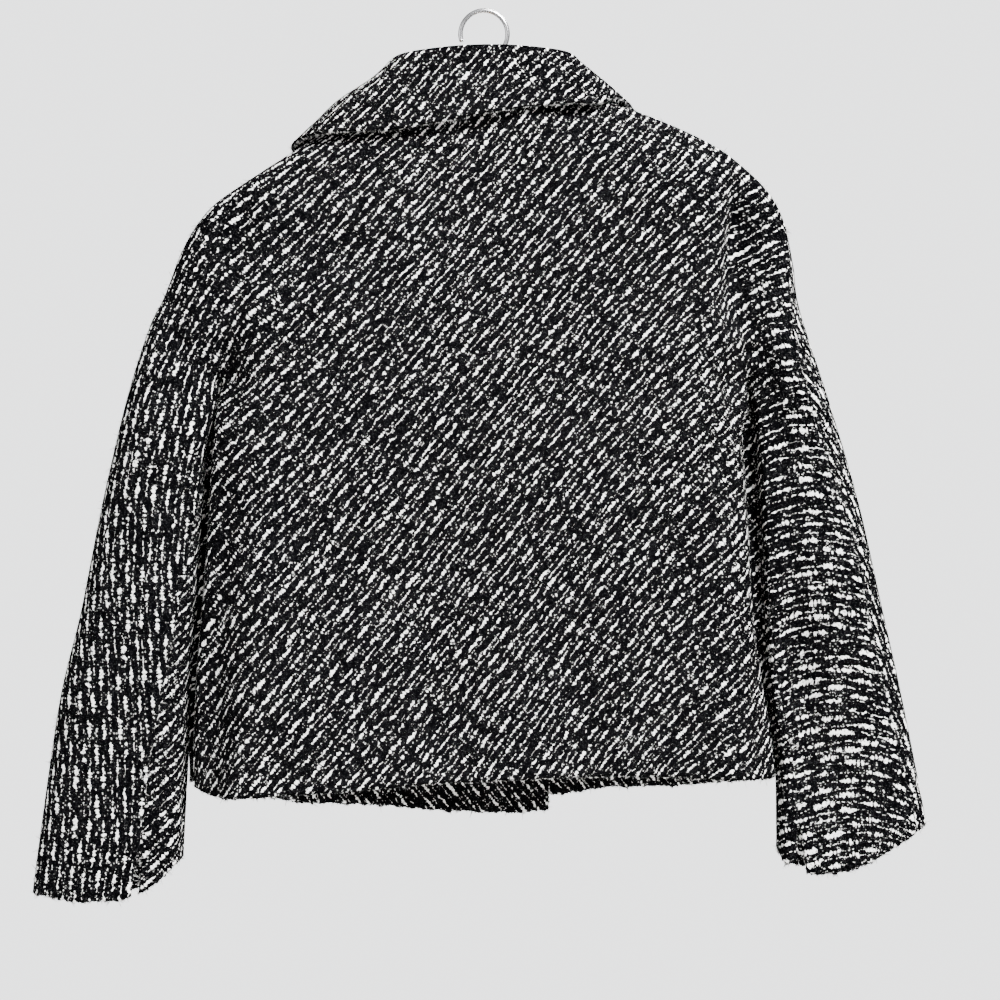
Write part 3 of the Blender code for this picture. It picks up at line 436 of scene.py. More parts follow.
def downTo(low, down):              # the height this share of the way from the underarm down to low
    return coat["underarm"] + (low - coat["underarm"]) * down


def sleeveEnds(side, down):         # the sleeve's outer and inner edges, this share of the way to the cuff
    cuff = hems[side + "Cuff"]
    outerHeight = downTo(across(cuff, 0), down)
    innerHeight = downTo(across(cuff, 1), down)
    start = atHeight(lines[side + "Outer"], outerHeight)
    end = atHeight(lines[side + "Inner"], innerHeight)
    return start, end, outerHeight, innerHeight


def ventOpen(side, innerHeight):
    return eased((across(hems[side + "Cuff"], 1) + coat["vent"] - innerHeight) / coat["ventOver"])


def sleeveRows(side, sheet, outerSeam, innerSeam, vent=0.0):
    cuff = hems[side + "Cuff"]
    grid = []
    for row in range(coat["sleeveRows"] + 1):
        down = row / coat["sleeveRows"]
        start, end, outerHeight, innerHeight = sleeveEnds(side, down)
        width = abs(end - start)
        slit = vent * ventOpen(side, innerHeight)
        first = angleAt(across(seams[outerSeam], outerHeight), width)
        last = 180 - angleAt(across(seams[innerSeam], innerHeight) + slit, width)
        angles = np.radians(shared((first, last), coat["sleeveColumns"]))
        grid.append([
            (start + (end - start) * share, downTo(across(cuff, share), down), sheet)
            for share in (1 - np.cos(angles)) / 2])
    return grid


def underRows(side):
    cuff = hems[side + "Cuff"]
    grid = []
    for row in range(coat["sleeveRows"] + 1):
        down = row / coat["sleeveRows"]
        start, end, outerHeight, innerHeight = sleeveEnds(side, down)
        width = abs(end - start)
        slit = coat["ventWidth"] * ventOpen(side, innerHeight)
        back = angleAt(across(seams[side + "UnderBack"], innerHeight) - slit, width)
        front = angleAt(across(seams[side + "UnderFront"], innerHeight), width)
        line = []
        backAngles = shared((180 - back, 180), coat["underColumns"])
        frontAngles = shared((180, 180 - front), coat["underColumns"])[1:]
        for sheet, angles in ((-1, backAngles), (1, frontAngles)):
            for angle in angles:
                share = (1 - math.cos(math.radians(angle))) / 2
                line.append((start + (end - start) * share, downTo(across(cuff, share), down), sheet))
        grid.append(line)
    return grid


def straight(x):
    return np.array([(x, 1.0), (x, -1.0)])


def bodyRows(sheet, hem, shares, left, right):
    grid = []
    for row in range(coat["bodyRows"] + 1):
        down = row / coat["bodyRows"]
        leftHeight = downTo(hem[0][1], down)
        rightHeight = downTo(hem[-1][1], down)
        start = atHeight(left, leftHeight)
        end = atHeight(right, rightHeight)
        xs = start + (end - start) * shares
        heights = downTo(across(hem, xs), down)
        line = [(x, height, sheet) for x, height in zip(xs, heights)]
        line[0] = (start, leftHeight, sheet)
        line[-1] = (end, rightHeight, sheet)
        grid.append(line)
    return grid


def lengths(path):                  # how far along a path each of its points lies
    return np.concatenate([[0], np.cumsum(np.linalg.norm(np.diff(path, axis=0), axis=1))])


def spaced(path, places):
    run = lengths(path)
    return list(zip(np.interp(places, run, path[:, 0]), np.interp(places, run, path[:, 1])))


def stretch(line, start, end, count):
    first = np.linalg.norm(line - start, axis=1).argmin()
    last = np.linalg.norm(line - end, axis=1).argmin()
    path = line[first:last + 1] if first < last else line[last:first + 1][::-1]
    return spaced(path, np.linspace(0, lengths(path)[-1], count + 1))


yokeStops = [0.0, 0.17, 0.34, 0.50, 0.64, 0.77, 0.885, 0.965, 1.0]
yokeSteps = np.interp(np.linspace(0, len(yokeStops) - 1, coat["yokeRows"] + 1), range(len(yokeStops)), yokeStops)


def border(side):                   # the outline from the underarm's height up to the shoulder's corner
    line = lines[side + "Outer"]
    low = (atHeight(line, coat["underarm"]), coat["underarm"])
    above = line[line[:, 1] > coat["underarm"]]
    path = np.vstack([[low], above[::-1]])
    last = np.linalg.norm(path - corners[side]["corner"], axis=1).argmin()
    path = path[:last + 1]
    return spaced(path, yokeSteps * lengths(path)[-1])


def yokeRows(bottom, top, left, right, sheet):
    bottom, top, left, right = (np.array(line, float) for line in (bottom, top, left, right))
    along = lengths(bottom)
    along = (along / along[-1])[:, None]
    grid = []
    for row, share in enumerate(yokeSteps):
        line = (1 - share) * bottom + share * top
        line = line + (1 - along) * (left[row] - (1 - share) * left[0] - share * left[-1])
        line = line + along * (right[row] - (1 - share) * right[0] - share * right[-1])
        grid.append([(x, height, sheet) for x, height in line])
    return grid


def overarmSeam():                  # the over-arm seam above the underarm, set in over the back
    edge = border("right")
    seam = []
    for index, (x, height) in enumerate(edge):
        run = np.subtract(edge[min(index + 1, len(edge) - 1)], edge[max(index - 1, 0)])
        inward = np.array([-run[1], run[0]]) / np.linalg.norm(run)
        turn = eased(index / coat["overarmTurn"])
        inward = inward * turn + np.array([-1.0, 0.0]) * (1 - turn)
        seam.append(tuple(np.array([x, height]) + inward * across(seams["overarm"], height)))
    return seam


def overarmBelow():
    seam, edge = [], []
    for row in range(coat["sleeveRows"] + 1):
        down = row / coat["sleeveRows"]
        start, end, outerHeight, _ = sleeveEnds("right", down)
        share = across(seams["overarm"], outerHeight) / abs(end - start)
        seam.append((start + (end - start) * share, downTo(across(hems["rightCuff"], share), down)))
        edge.append((start, outerHeight))
    return seam, edge


def stripRows(seam, edge):
    grid = []
    for inner, outer in zip(np.array(seam), np.array(edge)):
        reach = 1 - (1 - np.linspace(0, 1, coat["overarmColumns"] + 1)) ** 2
        grid.append([(*(inner + (outer - inner) * share), -1) for share in reach])
    return grid


def rounding(width):
    return coat["bodyEdge"] / width * (1 - np.cos(np.radians(shared((0, 90), coat["bodySides"]))))


def backRows():
    leftSleeve = sleeveRows("left", -1, "none", "leftUnderBack", coat["ventWidth"])
    rightSleeve = sleeveRows("right", -1, "overarm", "rightUnderBack", coat["ventWidth"])
    side = rounding(lines["rightSide"][0, 0] - lines["leftSide"][0, 0])
    shares = np.concatenate([side, shared((side[-1], 1 - side[-1]), coat["bodyMiddle"])[1:-1], 1 - side[::-1]])
    body = bodyRows(-1, hems["back"], shares, lines["leftSide"], lines["rightSide"])
    bottom = leftSleeve[0][:-1] + body[0] + rightSleeve[0][::-1][1:]
    along = np.linspace(0, 1, coat["bodyMiddle"] + 1)
    left, right = corners["left"], corners["right"]
    neck = np.array(left["neck"]) + np.outer(along, np.subtract(right["neck"], left["neck"]))
    neck[:, 1] -= coat["neckDip"] * 4 * along * (1 - along)
    top = stretch(lines["leftOuter"], left["corner"], left["sleeveTop"], coat["sleeveColumns"])
    top += stretch(lines["leftOuter"], left["sleeveTop"], left["neck"], coat["bodySides"])[1:]
    top += [tuple(point) for point in neck[1:-1]]
    top += stretch(lines["rightOuter"], right["neck"], right["sleeveTop"], coat["bodySides"])
    top += stretch(lines["rightOuter"], right["sleeveTop"], right["corner"], coat["sleeveColumns"])[1:]
    yoke = yokeRows([place[:2] for place in bottom], top, border("left"), overarmSeam(), -1)
    return [leftSleeve, body, rightSleeve, yoke]


def frontRows(side):
    outer = lines[side + "Outer"]
    edge = lines[side + "Side"]
    sleeve = sleeveRows(side, 1, "none", side + "UnderFront")
    curve = rounding(abs(edge[0, 0]) + coat["overlap"])
    shares = np.concatenate([curve, shared((curve[-1], 1), coat["lapMiddle"])[1:]])
    lap = coat["overlap"] if side == "left" else -coat["overlap"]
    if side == "left":
        body = bodyRows(1, hems["leftFront"], shares, edge, straight(lap))
        fromSleeve = body[0]
    else:
        body = bodyRows(1, hems["rightFront"], 1 - shares[::-1], straight(lap), edge)
        fromSleeve = body[0][::-1]
    bottom = sleeve[0][:-1] + fromSleeve
    at = corners[side]
    top = stretch(outer, at["corner"], at["sleeveTop"], coat["sleeveColumns"])
    top += stretch(outer, at["sleeveTop"], at["neck"], coat["bodySides"])[1:]
    neck = np.array([-math.copysign(lapel["rollTop"][0], lap), lapel["rollTop"][1]])
    rollEnd = np.array([lap, coat["breakHeight"]])
    top += [tuple(neck + (rollEnd - neck) * share) for share in np.linspace(0, 1, coat["lapMiddle"])]
    inner = [(lap, downTo(coat["breakHeight"], share)) for share in yokeSteps]
    yoke = yokeRows([place[:2] for place in bottom], top, border(side), inner, 1)
    patches = [sleeve, body, yoke]
    if side == "right":
        patches += [stripRows(overarmSeam(), border("right")), stripRows(*overarmBelow())]
    return patches


# How the rows of slubs run: degrees up from level, seen from outside the cloth

grain = {
    "back": [(-0.25, 34), (-0.21, 42), (-0.10, 50), (0.0, 53), (0.09, 54), (0.14, 47), (0.18, 38), (0.22, 30)],
    "yoke": [(-0.20, 42), (-0.05, 48), (0.0, 54), (0.10, 53), (0.16, 44), (0.22, 36)],
    "front": [(-0.24, 50), (0.24, 50)],
    "leftSleeve": [(-0.10, 82), (0.0, 90), (0.07, 92), (0.15, 93), (0.22, 86), (0.28, 80), (0.34, 75), (0.44, 68),
                   (0.50, 62)],
    "rightSleeve": [(-0.08, 6), (0.05, 4), (0.20, 0), (0.30, 2), (0.36, 8), (0.42, 18), (0.47, 28), (0.52, 40)],
    "leftFrontSleeve": [(-0.10, 14), (0.20, 8), (0.34, 20), (0.48, 40)],
    "rightFrontSleeve": [(-0.10, 100), (0.20, 104), (0.34, 118), (0.42, 100), (0.48, 66)],
    "leftUnder": [(-0.10, 43), (0.34, 43)],
    "rightUnder": [(-0.10, 14), (0.34, 20)],
    "arc": [(0.0, 24), (0.2, 15), (0.45, 2), (0.75, -20), (1.0, -42)],
}


turns = {       # where the rows turn from the body's way to the sleeve's, and to the yoke's
    "from": 0.195, "over": 0.055, "seam": 0.2225, "seamOut": 0.02, "seamFrom": 0.33, "seamOver": 0.3,
    "arcX": 0.222, "arcFrom": 0.46, "arcOver": 0.10, "yokeFrom": 0.47, "yokeOver": 0.06, "yokeX": 0.21,
    "yokeEdge": 0.03, "lapel": 50, "leftCoarse": 0.14, "rightCoarse": 0.16,
}


def sleeveGrain(sleeve, body):
    def angles(x, height):
        share = eased((np.abs(x) - turns["from"]) / turns["over"])
        seam = turns["seam"] + turns["seamOut"] * eased((turns["seamFrom"] - height) / turns["seamOver"])
        share = np.where(height < coat["underarm"], np.where(np.abs(x) > seam, 1, share * 0), share)
        return across(grain[body], x) * (1 - share) + across(grain[sleeve], height) * share
    return angles


def backGrain(x, height):
    left = sleeveGrain("leftSleeve", "back")(x, height)
    right = sleeveGrain("rightSleeve", "back")(x, height)
    inner = atHeight(lines["rightInner"], np.minimum(height, coat["underarm"]))
    place = (x - inner) / (atHeight(lines["rightOuter"], height) - inner)
    arc = across(grain["arc"], place) * eased((turns["arcFrom"] - height) / turns["arcOver"])
    right = right + arc * (x > turns["arcX"])
    yoke = across(grain["yoke"], x)
    turned = np.where(x < 0, left, right)
    inYoke = eased((height - turns["yokeFrom"]) / turns["yokeOver"])
    return turned + (yoke - turned) * inYoke * eased((turns["yokeX"] - np.abs(x)) / turns["yokeEdge"])


def underGrain(x, height):
    return np.where(x < 0, across(grain["leftUnder"], height), across(grain["rightUnder"], height))


def lapelGrain(x, height):
    return x * 0 + turns["lapel"]


def coarseness(x, height):          # the sleeves are cut where the slubs are larger
    return 1 - np.where(x < 0, turns["leftCoarse"], turns["rightCoarse"]) * sleeveShare(x, height)


solver = {"goal": 1e-8, "rounds": 900}


def layOutCut(bm, angles, scale):   # lengths along and across the rows, as if the cloth lay flat
    bm.normal_update()
    points = np.array([vert.co for vert in bm.verts])
    normals = np.array([vert.normal for vert in bm.verts])
    level = np.cross([0, 0, 1], normals)
    level /= np.maximum(np.linalg.norm(level, axis=1), 1e-6)[:, None]
    upward = np.cross(normals, level)
    turn = np.radians(angles)[:, None]
    ways = [np.cos(turn) * level + np.sin(turn) * upward, np.cos(turn) * upward - np.sin(turn) * level]
    ways = [way * scale[:, None] for way in ways]
    ends = np.array([[vert.index for vert in edge.verts] for edge in bm.edges])
    start, end = ends.T
    step = points[end] - points[start]
    count = len(points)

    def spread(values):
        return np.bincount(end, values, count) - np.bincount(start, values, count)

    cut = []
    for way in ways:
        wanted = ((way[start] + way[end]) / 2 * step).sum(1)
        guess = points @ way.mean(0)
        left = spread(wanted) - spread(guess[end] - guess[start])
        heading = left.copy()
        power = left @ left
        goal = power * solver["goal"]
        for _ in range(solver["rounds"]):
            if power < goal:
                break
            pushed = spread(heading[end] - heading[start])
            size = power / (heading @ pushed)
            guess += size * heading
            left -= size * pushed
            before, power = power, left @ left
            heading = left + heading * (power / before)
        cut.append(guess)
    return np.column_stack(cut)


def addPatch(bm, grid):
    rows, columns = len(grid), len(grid[0])
    made = bmesh.ops.create_grid(bm, x_segments=columns - 1, y_segments=rows - 1, size=1)
    ordered = sorted(made["verts"], key=lambda vert: (round(vert.co.y, 5), round(vert.co.x, 5)))
    for index, vert in enumerate(ordered):
        vert.co = grid[index // columns][index % columns]
    return ordered


def toPiece(name, mesh, slot, *finishes):
    mesh.shade_smooth()
    piece = bpy.data.objects.new(name, mesh)
    bpy.context.scene.collection.objects.link(piece)
    for finish in finishes:
        mesh.materials.append(finish)
    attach(piece, "root")
    return piece


def toMesh(name, bm):
    mesh = bpy.data.meshes.new(name)
    bm.to_mesh(mesh)
    bm.free()
    return mesh


def finishCloth(name, bm, cut, thickness, offset=-1.0):     # its turned edges are tweed on both sides
    layer = bm.loops.layers.uv.new("cut")
    for face in bm.faces:
        for loop in face.loops:
            loop[layer].uv = cut[loop.vert.index]
    piece = toPiece(name, toMesh(name, bm), "tweed", tweedCloth, liningCloth, tweedCloth, tweedCloth)
    wall = piece.modifiers.new("wall", "SOLIDIFY")
    wall.thickness = thickness
    wall.offset = offset
    wall.use_rim = True
    return piece


edges = {}      # every panel's boundary: start, end, normal, and whether it is a raw edge rather than a seam


def noteEdges(name, bm, raw):
    edges[name] = [(edge.verts[0].co.copy(), edge.verts[1].co.copy(), edge.verts[0].normal.copy(),
                    bool(raw[edge.verts[0].index] and raw[edge.verts[1].index]))
                   for edge in bm.edges if edge.is_boundary]


def lapped(places):                 # the body's sides reach a little way past the sleeves' inner edges
    x, height, _ = places.T
    total = np.zeros(len(x))
    for side, sign in (("left", -1), ("right", 1)):
        edge = np.abs(atHeight(lines[side + "Side"], height))
        free = (edge + np.abs(atHeight(lines[side + "Inner"], height))) / 2
        near = eased(1 - (edge - x * sign) / coat["sideLapOver"]) * (x * sign < free)
        total += sign * coat["sideLap"] * near * eased((coat["underarm"] - height) / coat["sideLapStart"])
    return total


surface = {     # size and height of each unevenness, and how far the raw edges reach in
    "thickness": 0.0027, "wobble": (0.075, 7, 0.0006), "wobbleFade": 0.02, "hemBand": 0.007,
    "knob": (0.006, 0.0013), "lump": (0.018, 0.0008), "hemWave": (0.010, 0.0004),
    "rawHem": 0.003, "rawFront": 0.002, "merge": 1e-5, "sampled": 50,
}


def unevenEdge(points, low, outward, seed):     # raw and knobbly along the hem
    (knobSize, knob), (lumpSize, lump), (waveSize, wave) = surface["knob"], surface["lump"], surface["hemWave"]
    knobs = ripples(points, knobSize, seed) * knob + ripples(points, lumpSize, seed + 1) * lump
    points[:, 2] -= low * np.abs(knobs)
    return points + outward * (low * ripples(points, waveSize, seed + 2) * wave)[:, None]


def makeCloth(name, node, patches, lift, angles, seed, thickness=surface["thickness"], lined=True):
    bm = bmesh.new()
    for patch in patches:
        addPatch(bm, patch)
    flat = np.array([vert.co for vert in bm.verts])
    reach, _ = insideDistance(flat[:, 0], flat[:, 1])
    for vert, away in zip(bm.verts, reach):
        if abs(away) < surface["merge"]:
            vert.co.z = 0
    bmesh.ops.remove_doubles(bm, verts=bm.verts, dist=surface["merge"])
    bm.verts.ensure_lookup_table()
    places = np.array([vert.co for vert in bm.verts])
    x, height, _ = places.T
    points, outward, reach = form(places)
    points = points + outward * (folded(places, reach) + lift(x, height))[:, None]
    points[:, 0] += lapped(places)
    size, wobbleSeed, wobble = surface["wobble"]
    fade = np.clip(reach / surface["wobbleFade"], 0, 1)
    points = points + outward * (ripples(points, size, wobbleSeed) * wobble * fade)[:, None]
    above = height - hemHeight(places, name)
    points = unevenEdge(points, eased(1 - above / surface["hemBand"]), outward, seed)
    for vert, point in zip(bm.verts, points):
        vert.co = point
    faces = bm.faces[:]
    bmesh.ops.recalc_face_normals(bm, faces=faces)
    bm.normal_update()
    samples = zip(bm.verts[:][::surface["sampled"]], outward[::surface["sampled"]])
    if sum(vert.normal.dot(Vector(way)) for vert, way in samples) < 0:
        bmesh.ops.reverse_faces(bm, faces=faces)
    bm.verts.index_update()
    cut = layOutCut(bm, angles(x, height), coarseness(x, height))
    area = sum(face.calc_area() for face in bm.faces)
    turned = above < coat["turnUp"]
    raw = (above < surface["rawHem"]) | (not lined)
    if name.endswith("FrontCloth"):
        edge = coat["overlap"] - x * (1 if name.startswith("left") else -1)
        turned |= (edge < coat["facing"]) & (np.abs(x) < 2 * coat["bodyEdge"])
        raw |= (edge < surface["rawFront"]) & (np.abs(x) < coat["bodyEdge"])
    noteEdges(name, bm, raw)
    for face in bm.faces:
        if all(turned[vert.index] for vert in face.verts):
            face.material_index = 2
    piece = finishCloth(name, bm, cut, thickness)
    if lined:
        piece.modifiers["wall"].material_offset = 1
    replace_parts(piece, node)
    print(name, "faces", len(piece.data.polygons), "area", round(area, 4), "cut", np.ptp(cut, axis=0).round(3))
    return piece


def hemHeight(places, name):        # where the lower edge lies, below or above each place of a panel
    x, height, _ = places.T
    hem = "back" if name == "backCloth" else "leftFront" if name.startswith("left") else "rightFront"
    low = across(hems[hem], x)
    for side, sign in (("left", -1), ("right", 1)):
        outer = atHeight(lines[side + "Outer"], height)
        inner = atHeight(lines[side + "Inner"], height)
        share = np.clip((x - outer) / np.where(inner == outer, 1, inner - outer), 0, 1)
        onSleeve = (x * sign > np.abs(inner) - coat["cuffReach"]) & (height < coat["underarm"])
        low = np.where(onSleeve, across(hems[side + "Cuff"], share), low)
    return low


# Finishes

def makeTweed():
    tweed = {"pitch": 0.0053, "repeat": 0.0375, "slub": 0.00158, "thin": 0.00044, "speck": 560, "roughness": 0.95,
             "rightSleeve": 1.60, "leftSleeve": 0.85, "sparse": 0.79, "lintSize": 900,
             "ground": (0.0006, 0.0006, 0.0008, 1), "lint": (0.014, 0.014, 0.015, 1),
             "yarn": (0.90, 0.89, 0.87, 1), "dull": (0.26, 0.255, 0.25, 1)}
    shop = Shop("slubTweed")
    u, v = shop.inCut()
    sway = (shop.noise(u * 26, v * 26, 2.0) - 0.5) * 0.0028 + (shop.noise(u * 160, v * 90, 5.0) - 0.5) * 0.0018
    line = (v + sway) / tweed["pitch"]
    row = line.floor()
    drift = (shop.noise(u * 17, v * 17, 8.0) - 0.5) * 0.30 + shop.noise(row * 0.17, 4.4, 1.0) * 0.6
    place = u / tweed["repeat"] + row * 0.5 + drift
    cell = place.floor()
    lengths, widths, shifts = shop.chances(cell, row, 0.5)
    bead = shop.noise(u * 470, row * 5.1, v * 160)
    wiggle = shop.noise(u * 330, row * 3.3, 6.0) - 0.5
    frayed = shop.noise(u * 1100, v * 1100, 3.0) - 0.5
    middle = (line - row - 0.5) * tweed["pitch"] + (shifts - 0.5) * 0.0022
    away = abs(middle + wiggle * 0.0020 + frayed * 0.0007)      # distance from the row's middle
    spot = (place - cell - 0.5 + (shifts - 0.5) * 0.10) / (0.18 + 0.11 * lengths)
    thick = (1.0 - spot * spot).ramp(0.0, 0.8)
    x, _, _ = shop.inObject()
    sleeve = tweed["rightSleeve"] * x.ramp(0.240, 0.275) + tweed["leftSleeve"] * (0.0 - x).ramp(0.235, 0.280)
    full = 1.0 + 0.26 * sleeve
    nub = (u * 2150 + shifts * 40 + shop.noise(u * 120, row * 1.7, 2.0) * 16).sine()
    knots = 0.06 + 0.92 * bead.ramp(0.35, 0.60)
    halfWidth = thick * knots * (0.55 + 0.50 * widths) * (1.0 + 0.24 * nub) * full * tweed["slub"]
    slub = (halfWidth - away).ramp(0.00003, 0.00026)
    chain = shop.noise(u * 150, row * 2.3, 9.0).ramp(0.36, 0.56)
    chain = chain * shop.noise(u * 520, row * 8.3, 2.0).ramp(0.42, 0.60)
    thin = (chain * tweed["thin"] - away).ramp(0.00003, 0.00022)
    spots, sizes = shop.cells(u * tweed["speck"], v * tweed["speck"])
    big, some, pale = shop.parts(sizes)
    speck = (0.05 + 0.38 * big * big - spots).ramp(-0.03, 0.05)
    speck = speck * (some - tweed["sparse"] + 0.10 * sleeve).ramp(0.0, 0.05) * (0.4 + 0.6 * pale)
    speck = speck * (1.0 - 0.55 * away.ramp(0.0010, 0.0020))
    lintSpots, lintSizes = shop.cells(u * tweed["lintSize"], v * tweed["lintSize"] + 3.0)
    small, few, _ = shop.parts(lintSizes)
    lint = (0.10 + 0.3 * small - lintSpots).ramp(-0.1, 0.1) * (few - 0.45).ramp(0.0, 0.1)
    white = slub.most(thin * 0.92).most(speck)
    shade = shop.noise(u * 620, v * 700, 11.0).ramp(0.18, 0.52)
    yarn = shop.blend(shade, tweed["dull"], tweed["yarn"])
    ground = shop.blend(lint, tweed["ground"], tweed["lint"])
    height = slub + thin * 0.6 + speck * 0.6 + lint * 0.2 + shop.noise(u * 900, v * 900, 4.0) * 0.25
    return shop.finish(colour=shop.blend(white, ground, yarn), roughness=tweed["roughness"], specular=0.0,
                       normal=shop.bump(height, 0.0008, 0.7))


def makeLining():
    shop = Shop("blackLining")
    u, v = shop.inCut()
    twill = ((u + v) * 5200).sine()
    tone = shop.noise(u * 40, v * 40, 1.0, 2.0)
    colour = shop.blend(tone, (0.010, 0.010, 0.012, 1), (0.020, 0.020, 0.023, 1))
    return shop.finish(colour=colour, roughness=0.48 + tone * 0.12, specular=0.15, sheen=0.05,
                       normal=shop.bump(twill, 0.0001, 0.4))


def makeHorn():
    shop = Shop("darkHorn")
    x, y, z = shop.inObject()
    streak = shop.noise(x * 260 + z * 90, y * 60, z * 120, 3.0)
    colour = shop.blend(streak.ramp(0.35, 0.75), (0.006, 0.005, 0.005, 1), (0.045, 0.036, 0.030, 1))
    scratch = shop.noise(x * 900, y * 900, z * 900, 2.0)
    return shop.finish(colour=colour, roughness=0.26 + streak * 0.18, specular=0.22, coat=0.10, coatRoughness=0.2,
                       normal=shop.bump(scratch, 0.00008, 0.25))


def makeThread():
    shop = Shop("buttonThread")
    x, y, z = shop.inObject()
    twist = ((x + z) * 9000).sine()
    # painted shade and light: the thread is darker in the twist's grooves and lighter on its ridges, following the
    # same wave as its bump
    colour = shop.blend(twist.ramp(-0.6, 0.8), (0.004, 0.004, 0.004, 1), (0.022, 0.022, 0.024, 1))
    return shop.finish(colour=colour, roughness=0.8, normal=shop.bump(twist, 0.0001, 0.5))


def makeWood():
    shop = Shop("beechWood")
    x, y, z = shop.inObject()
    grainLine = shop.noise(x * 16, y * 420, z * 420, 3.0)
    ring = shop.noise(x * 6, y * 110, z * 110, 2.0)
    fleck = shop.noise(x * 160, y * 1400, z * 1400, 1.0).ramp(0.62, 0.72)
    tone = shop.blend(ring.ramp(0.3, 0.7), (0.40, 0.245, 0.125, 1), (0.55, 0.37, 0.205, 1))
    tone = shop.blend(grainLine.ramp(0.45, 0.75) * 0.5, tone, (0.27, 0.150, 0.070, 1))
    tone = shop.blend(fleck * 0.5, tone, (0.20, 0.105, 0.050, 1))
    return shop.finish(colour=tone, roughness=0.38 + grainLine * 0.2, coat=0.25, coatRoughness=0.25,
                       normal=shop.bump(grainLine, 0.0002, 0.3))


def makeSteel():
    shop = Shop("brightWire")
    x, y, z = shop.inObject()
    draw = shop.noise(x * 900, y * 900, z * 900, 3.0)
    smear = shop.noise(x * 120, y * 120, z * 120, 2.0)
    colour = shop.blend(smear, (0.52, 0.52, 0.53, 1), (0.68, 0.68, 0.69, 1))
    return shop.finish(colour=colour, metallic=1.0, roughness=0.20 + smear * 0.16,
                       normal=shop.bump(draw, 0.00006, 0.3))


def makeFloor():
    shop = Shop("paleFloor")
    x, y, z = shop.inObject()
    cloud = shop.noise(x * 2.2, y * 2.2, 0.5, 4.0)
    return shop.finish(colour=shop.blend(cloud, (0.70, 0.70, 0.69, 1), (0.76, 0.755, 0.745, 1)),
                       roughness=0.55 + cloud * 0.2)


tweedCloth = makeTweed()
liningCloth = makeLining()
darkHorn = makeHorn()
buttonThread = makeThread()
beechWood = makeWood()
brightWire = makeSteel()
paleFloor = makeFloor()
print("finishes made")


# The panels

lapel = {"rollTop": (0.070, 0.574), "tip": (0.126, 0.493), "notch": (0.101, 0.5475), "belly": (0.010, -0.012),
         "shortOfCollar": 0.001, "spare": 0.0013, "rows": 70, "columns": 44, "thickness": 0.0028,
         "underFrom": 0.10, "underOver": 0.08, "beyond": 0.060}


def flatLift(x, height):
    return x * 0


def underlap(x, height):            # the left front lies under the right one, and comes back up beside it
    low = np.array([-coat["overlap"], coat["breakHeight"]])
    run = np.array(lapel["rollTop"]) - low
    beyond = ((x - low[0]) * run[1] - (height - low[1]) * run[0]) / np.linalg.norm(run)
    beyond = np.where(height < coat["breakHeight"], x - low[0], beyond)
    layers = 1 + eased((height - coat["breakHeight"] + lapel["underFrom"]) / lapel["underOver"])
    return -coat["layer"] * layers * eased((beyond + lapel["beyond"]) / lapel["beyond"])


leftFrontGrain = sleeveGrain("leftFrontSleeve", "front")
rightFrontGrain = sleeveGrain("rightFrontSleeve", "front")
makeCloth("backCloth", "back", backRows(), flatLift, backGrain, 11)
makeCloth("leftFrontCloth", "left_front", frontRows("left"), underlap, leftFrontGrain, 21)
makeCloth("rightFrontCloth", "right_front", frontRows("right"), flatLift, rightFrontGrain, 31)
makeCloth("leftUnderSleeve", "left_under_sleeve", [underRows("left")], flatLift, underGrain, 41)
makeCloth("rightUnderSleeve", "right_under_sleeve", [underRows("right")], flatLift, underGrain, 51)
print("panels made")


def lapelRows(side):
    sign = 1 if side == "right" else -1
    low = np.array([-sign * coat["overlap"], coat["breakHeight"]])
    top = np.array([sign * lapel["rollTop"][0], lapel["rollTop"][1] - lapel["shortOfCollar"]])
    tip = np.array([sign * lapel["tip"][0], lapel["tip"][1]])
    notch = np.array([sign * lapel["notch"][0], lapel["notch"][1] - lapel["shortOfCollar"]])
    belly = np.array([sign * lapel["belly"][0], lapel["belly"][1]])
    kink = notch - (top + (tip - top) * 0.5)
    grid = []
    for up in np.linspace(0.0, 1, lapel["rows"] + 1):
        roll = low + (top - low) * up
        edge = low + (tip - low) * up + belly * 4 * up * (1 - up)
        line = []
        for share in np.linspace(0, 1, lapel["columns"] + 1):
            bulge = kink * (share * 2 if share < 0.5 else 2 - share * 2)
            x, height = roll + (edge - roll) * share + bulge * up ** 4
            line.append((x, height, 1))
        grid.append(line)
    return grid


def leftLapelLift(x, height):
    return underlap(x, height) + coat["layer"]


def rightLapelLift(x, height):
    return x * 0 + coat["wall"] + lapel["spare"]


for side, lift, seed in (("left", leftLapelLift, 61), ("right", rightLapelLift, 71)):
    makeCloth(side + "Lapel", side + "_lapel", [lapelRows(side)], lift, lapelGrain, seed, lapel["thickness"], False)
print("lapels made")


# The collar: sections from the left gorge round the back to the right one

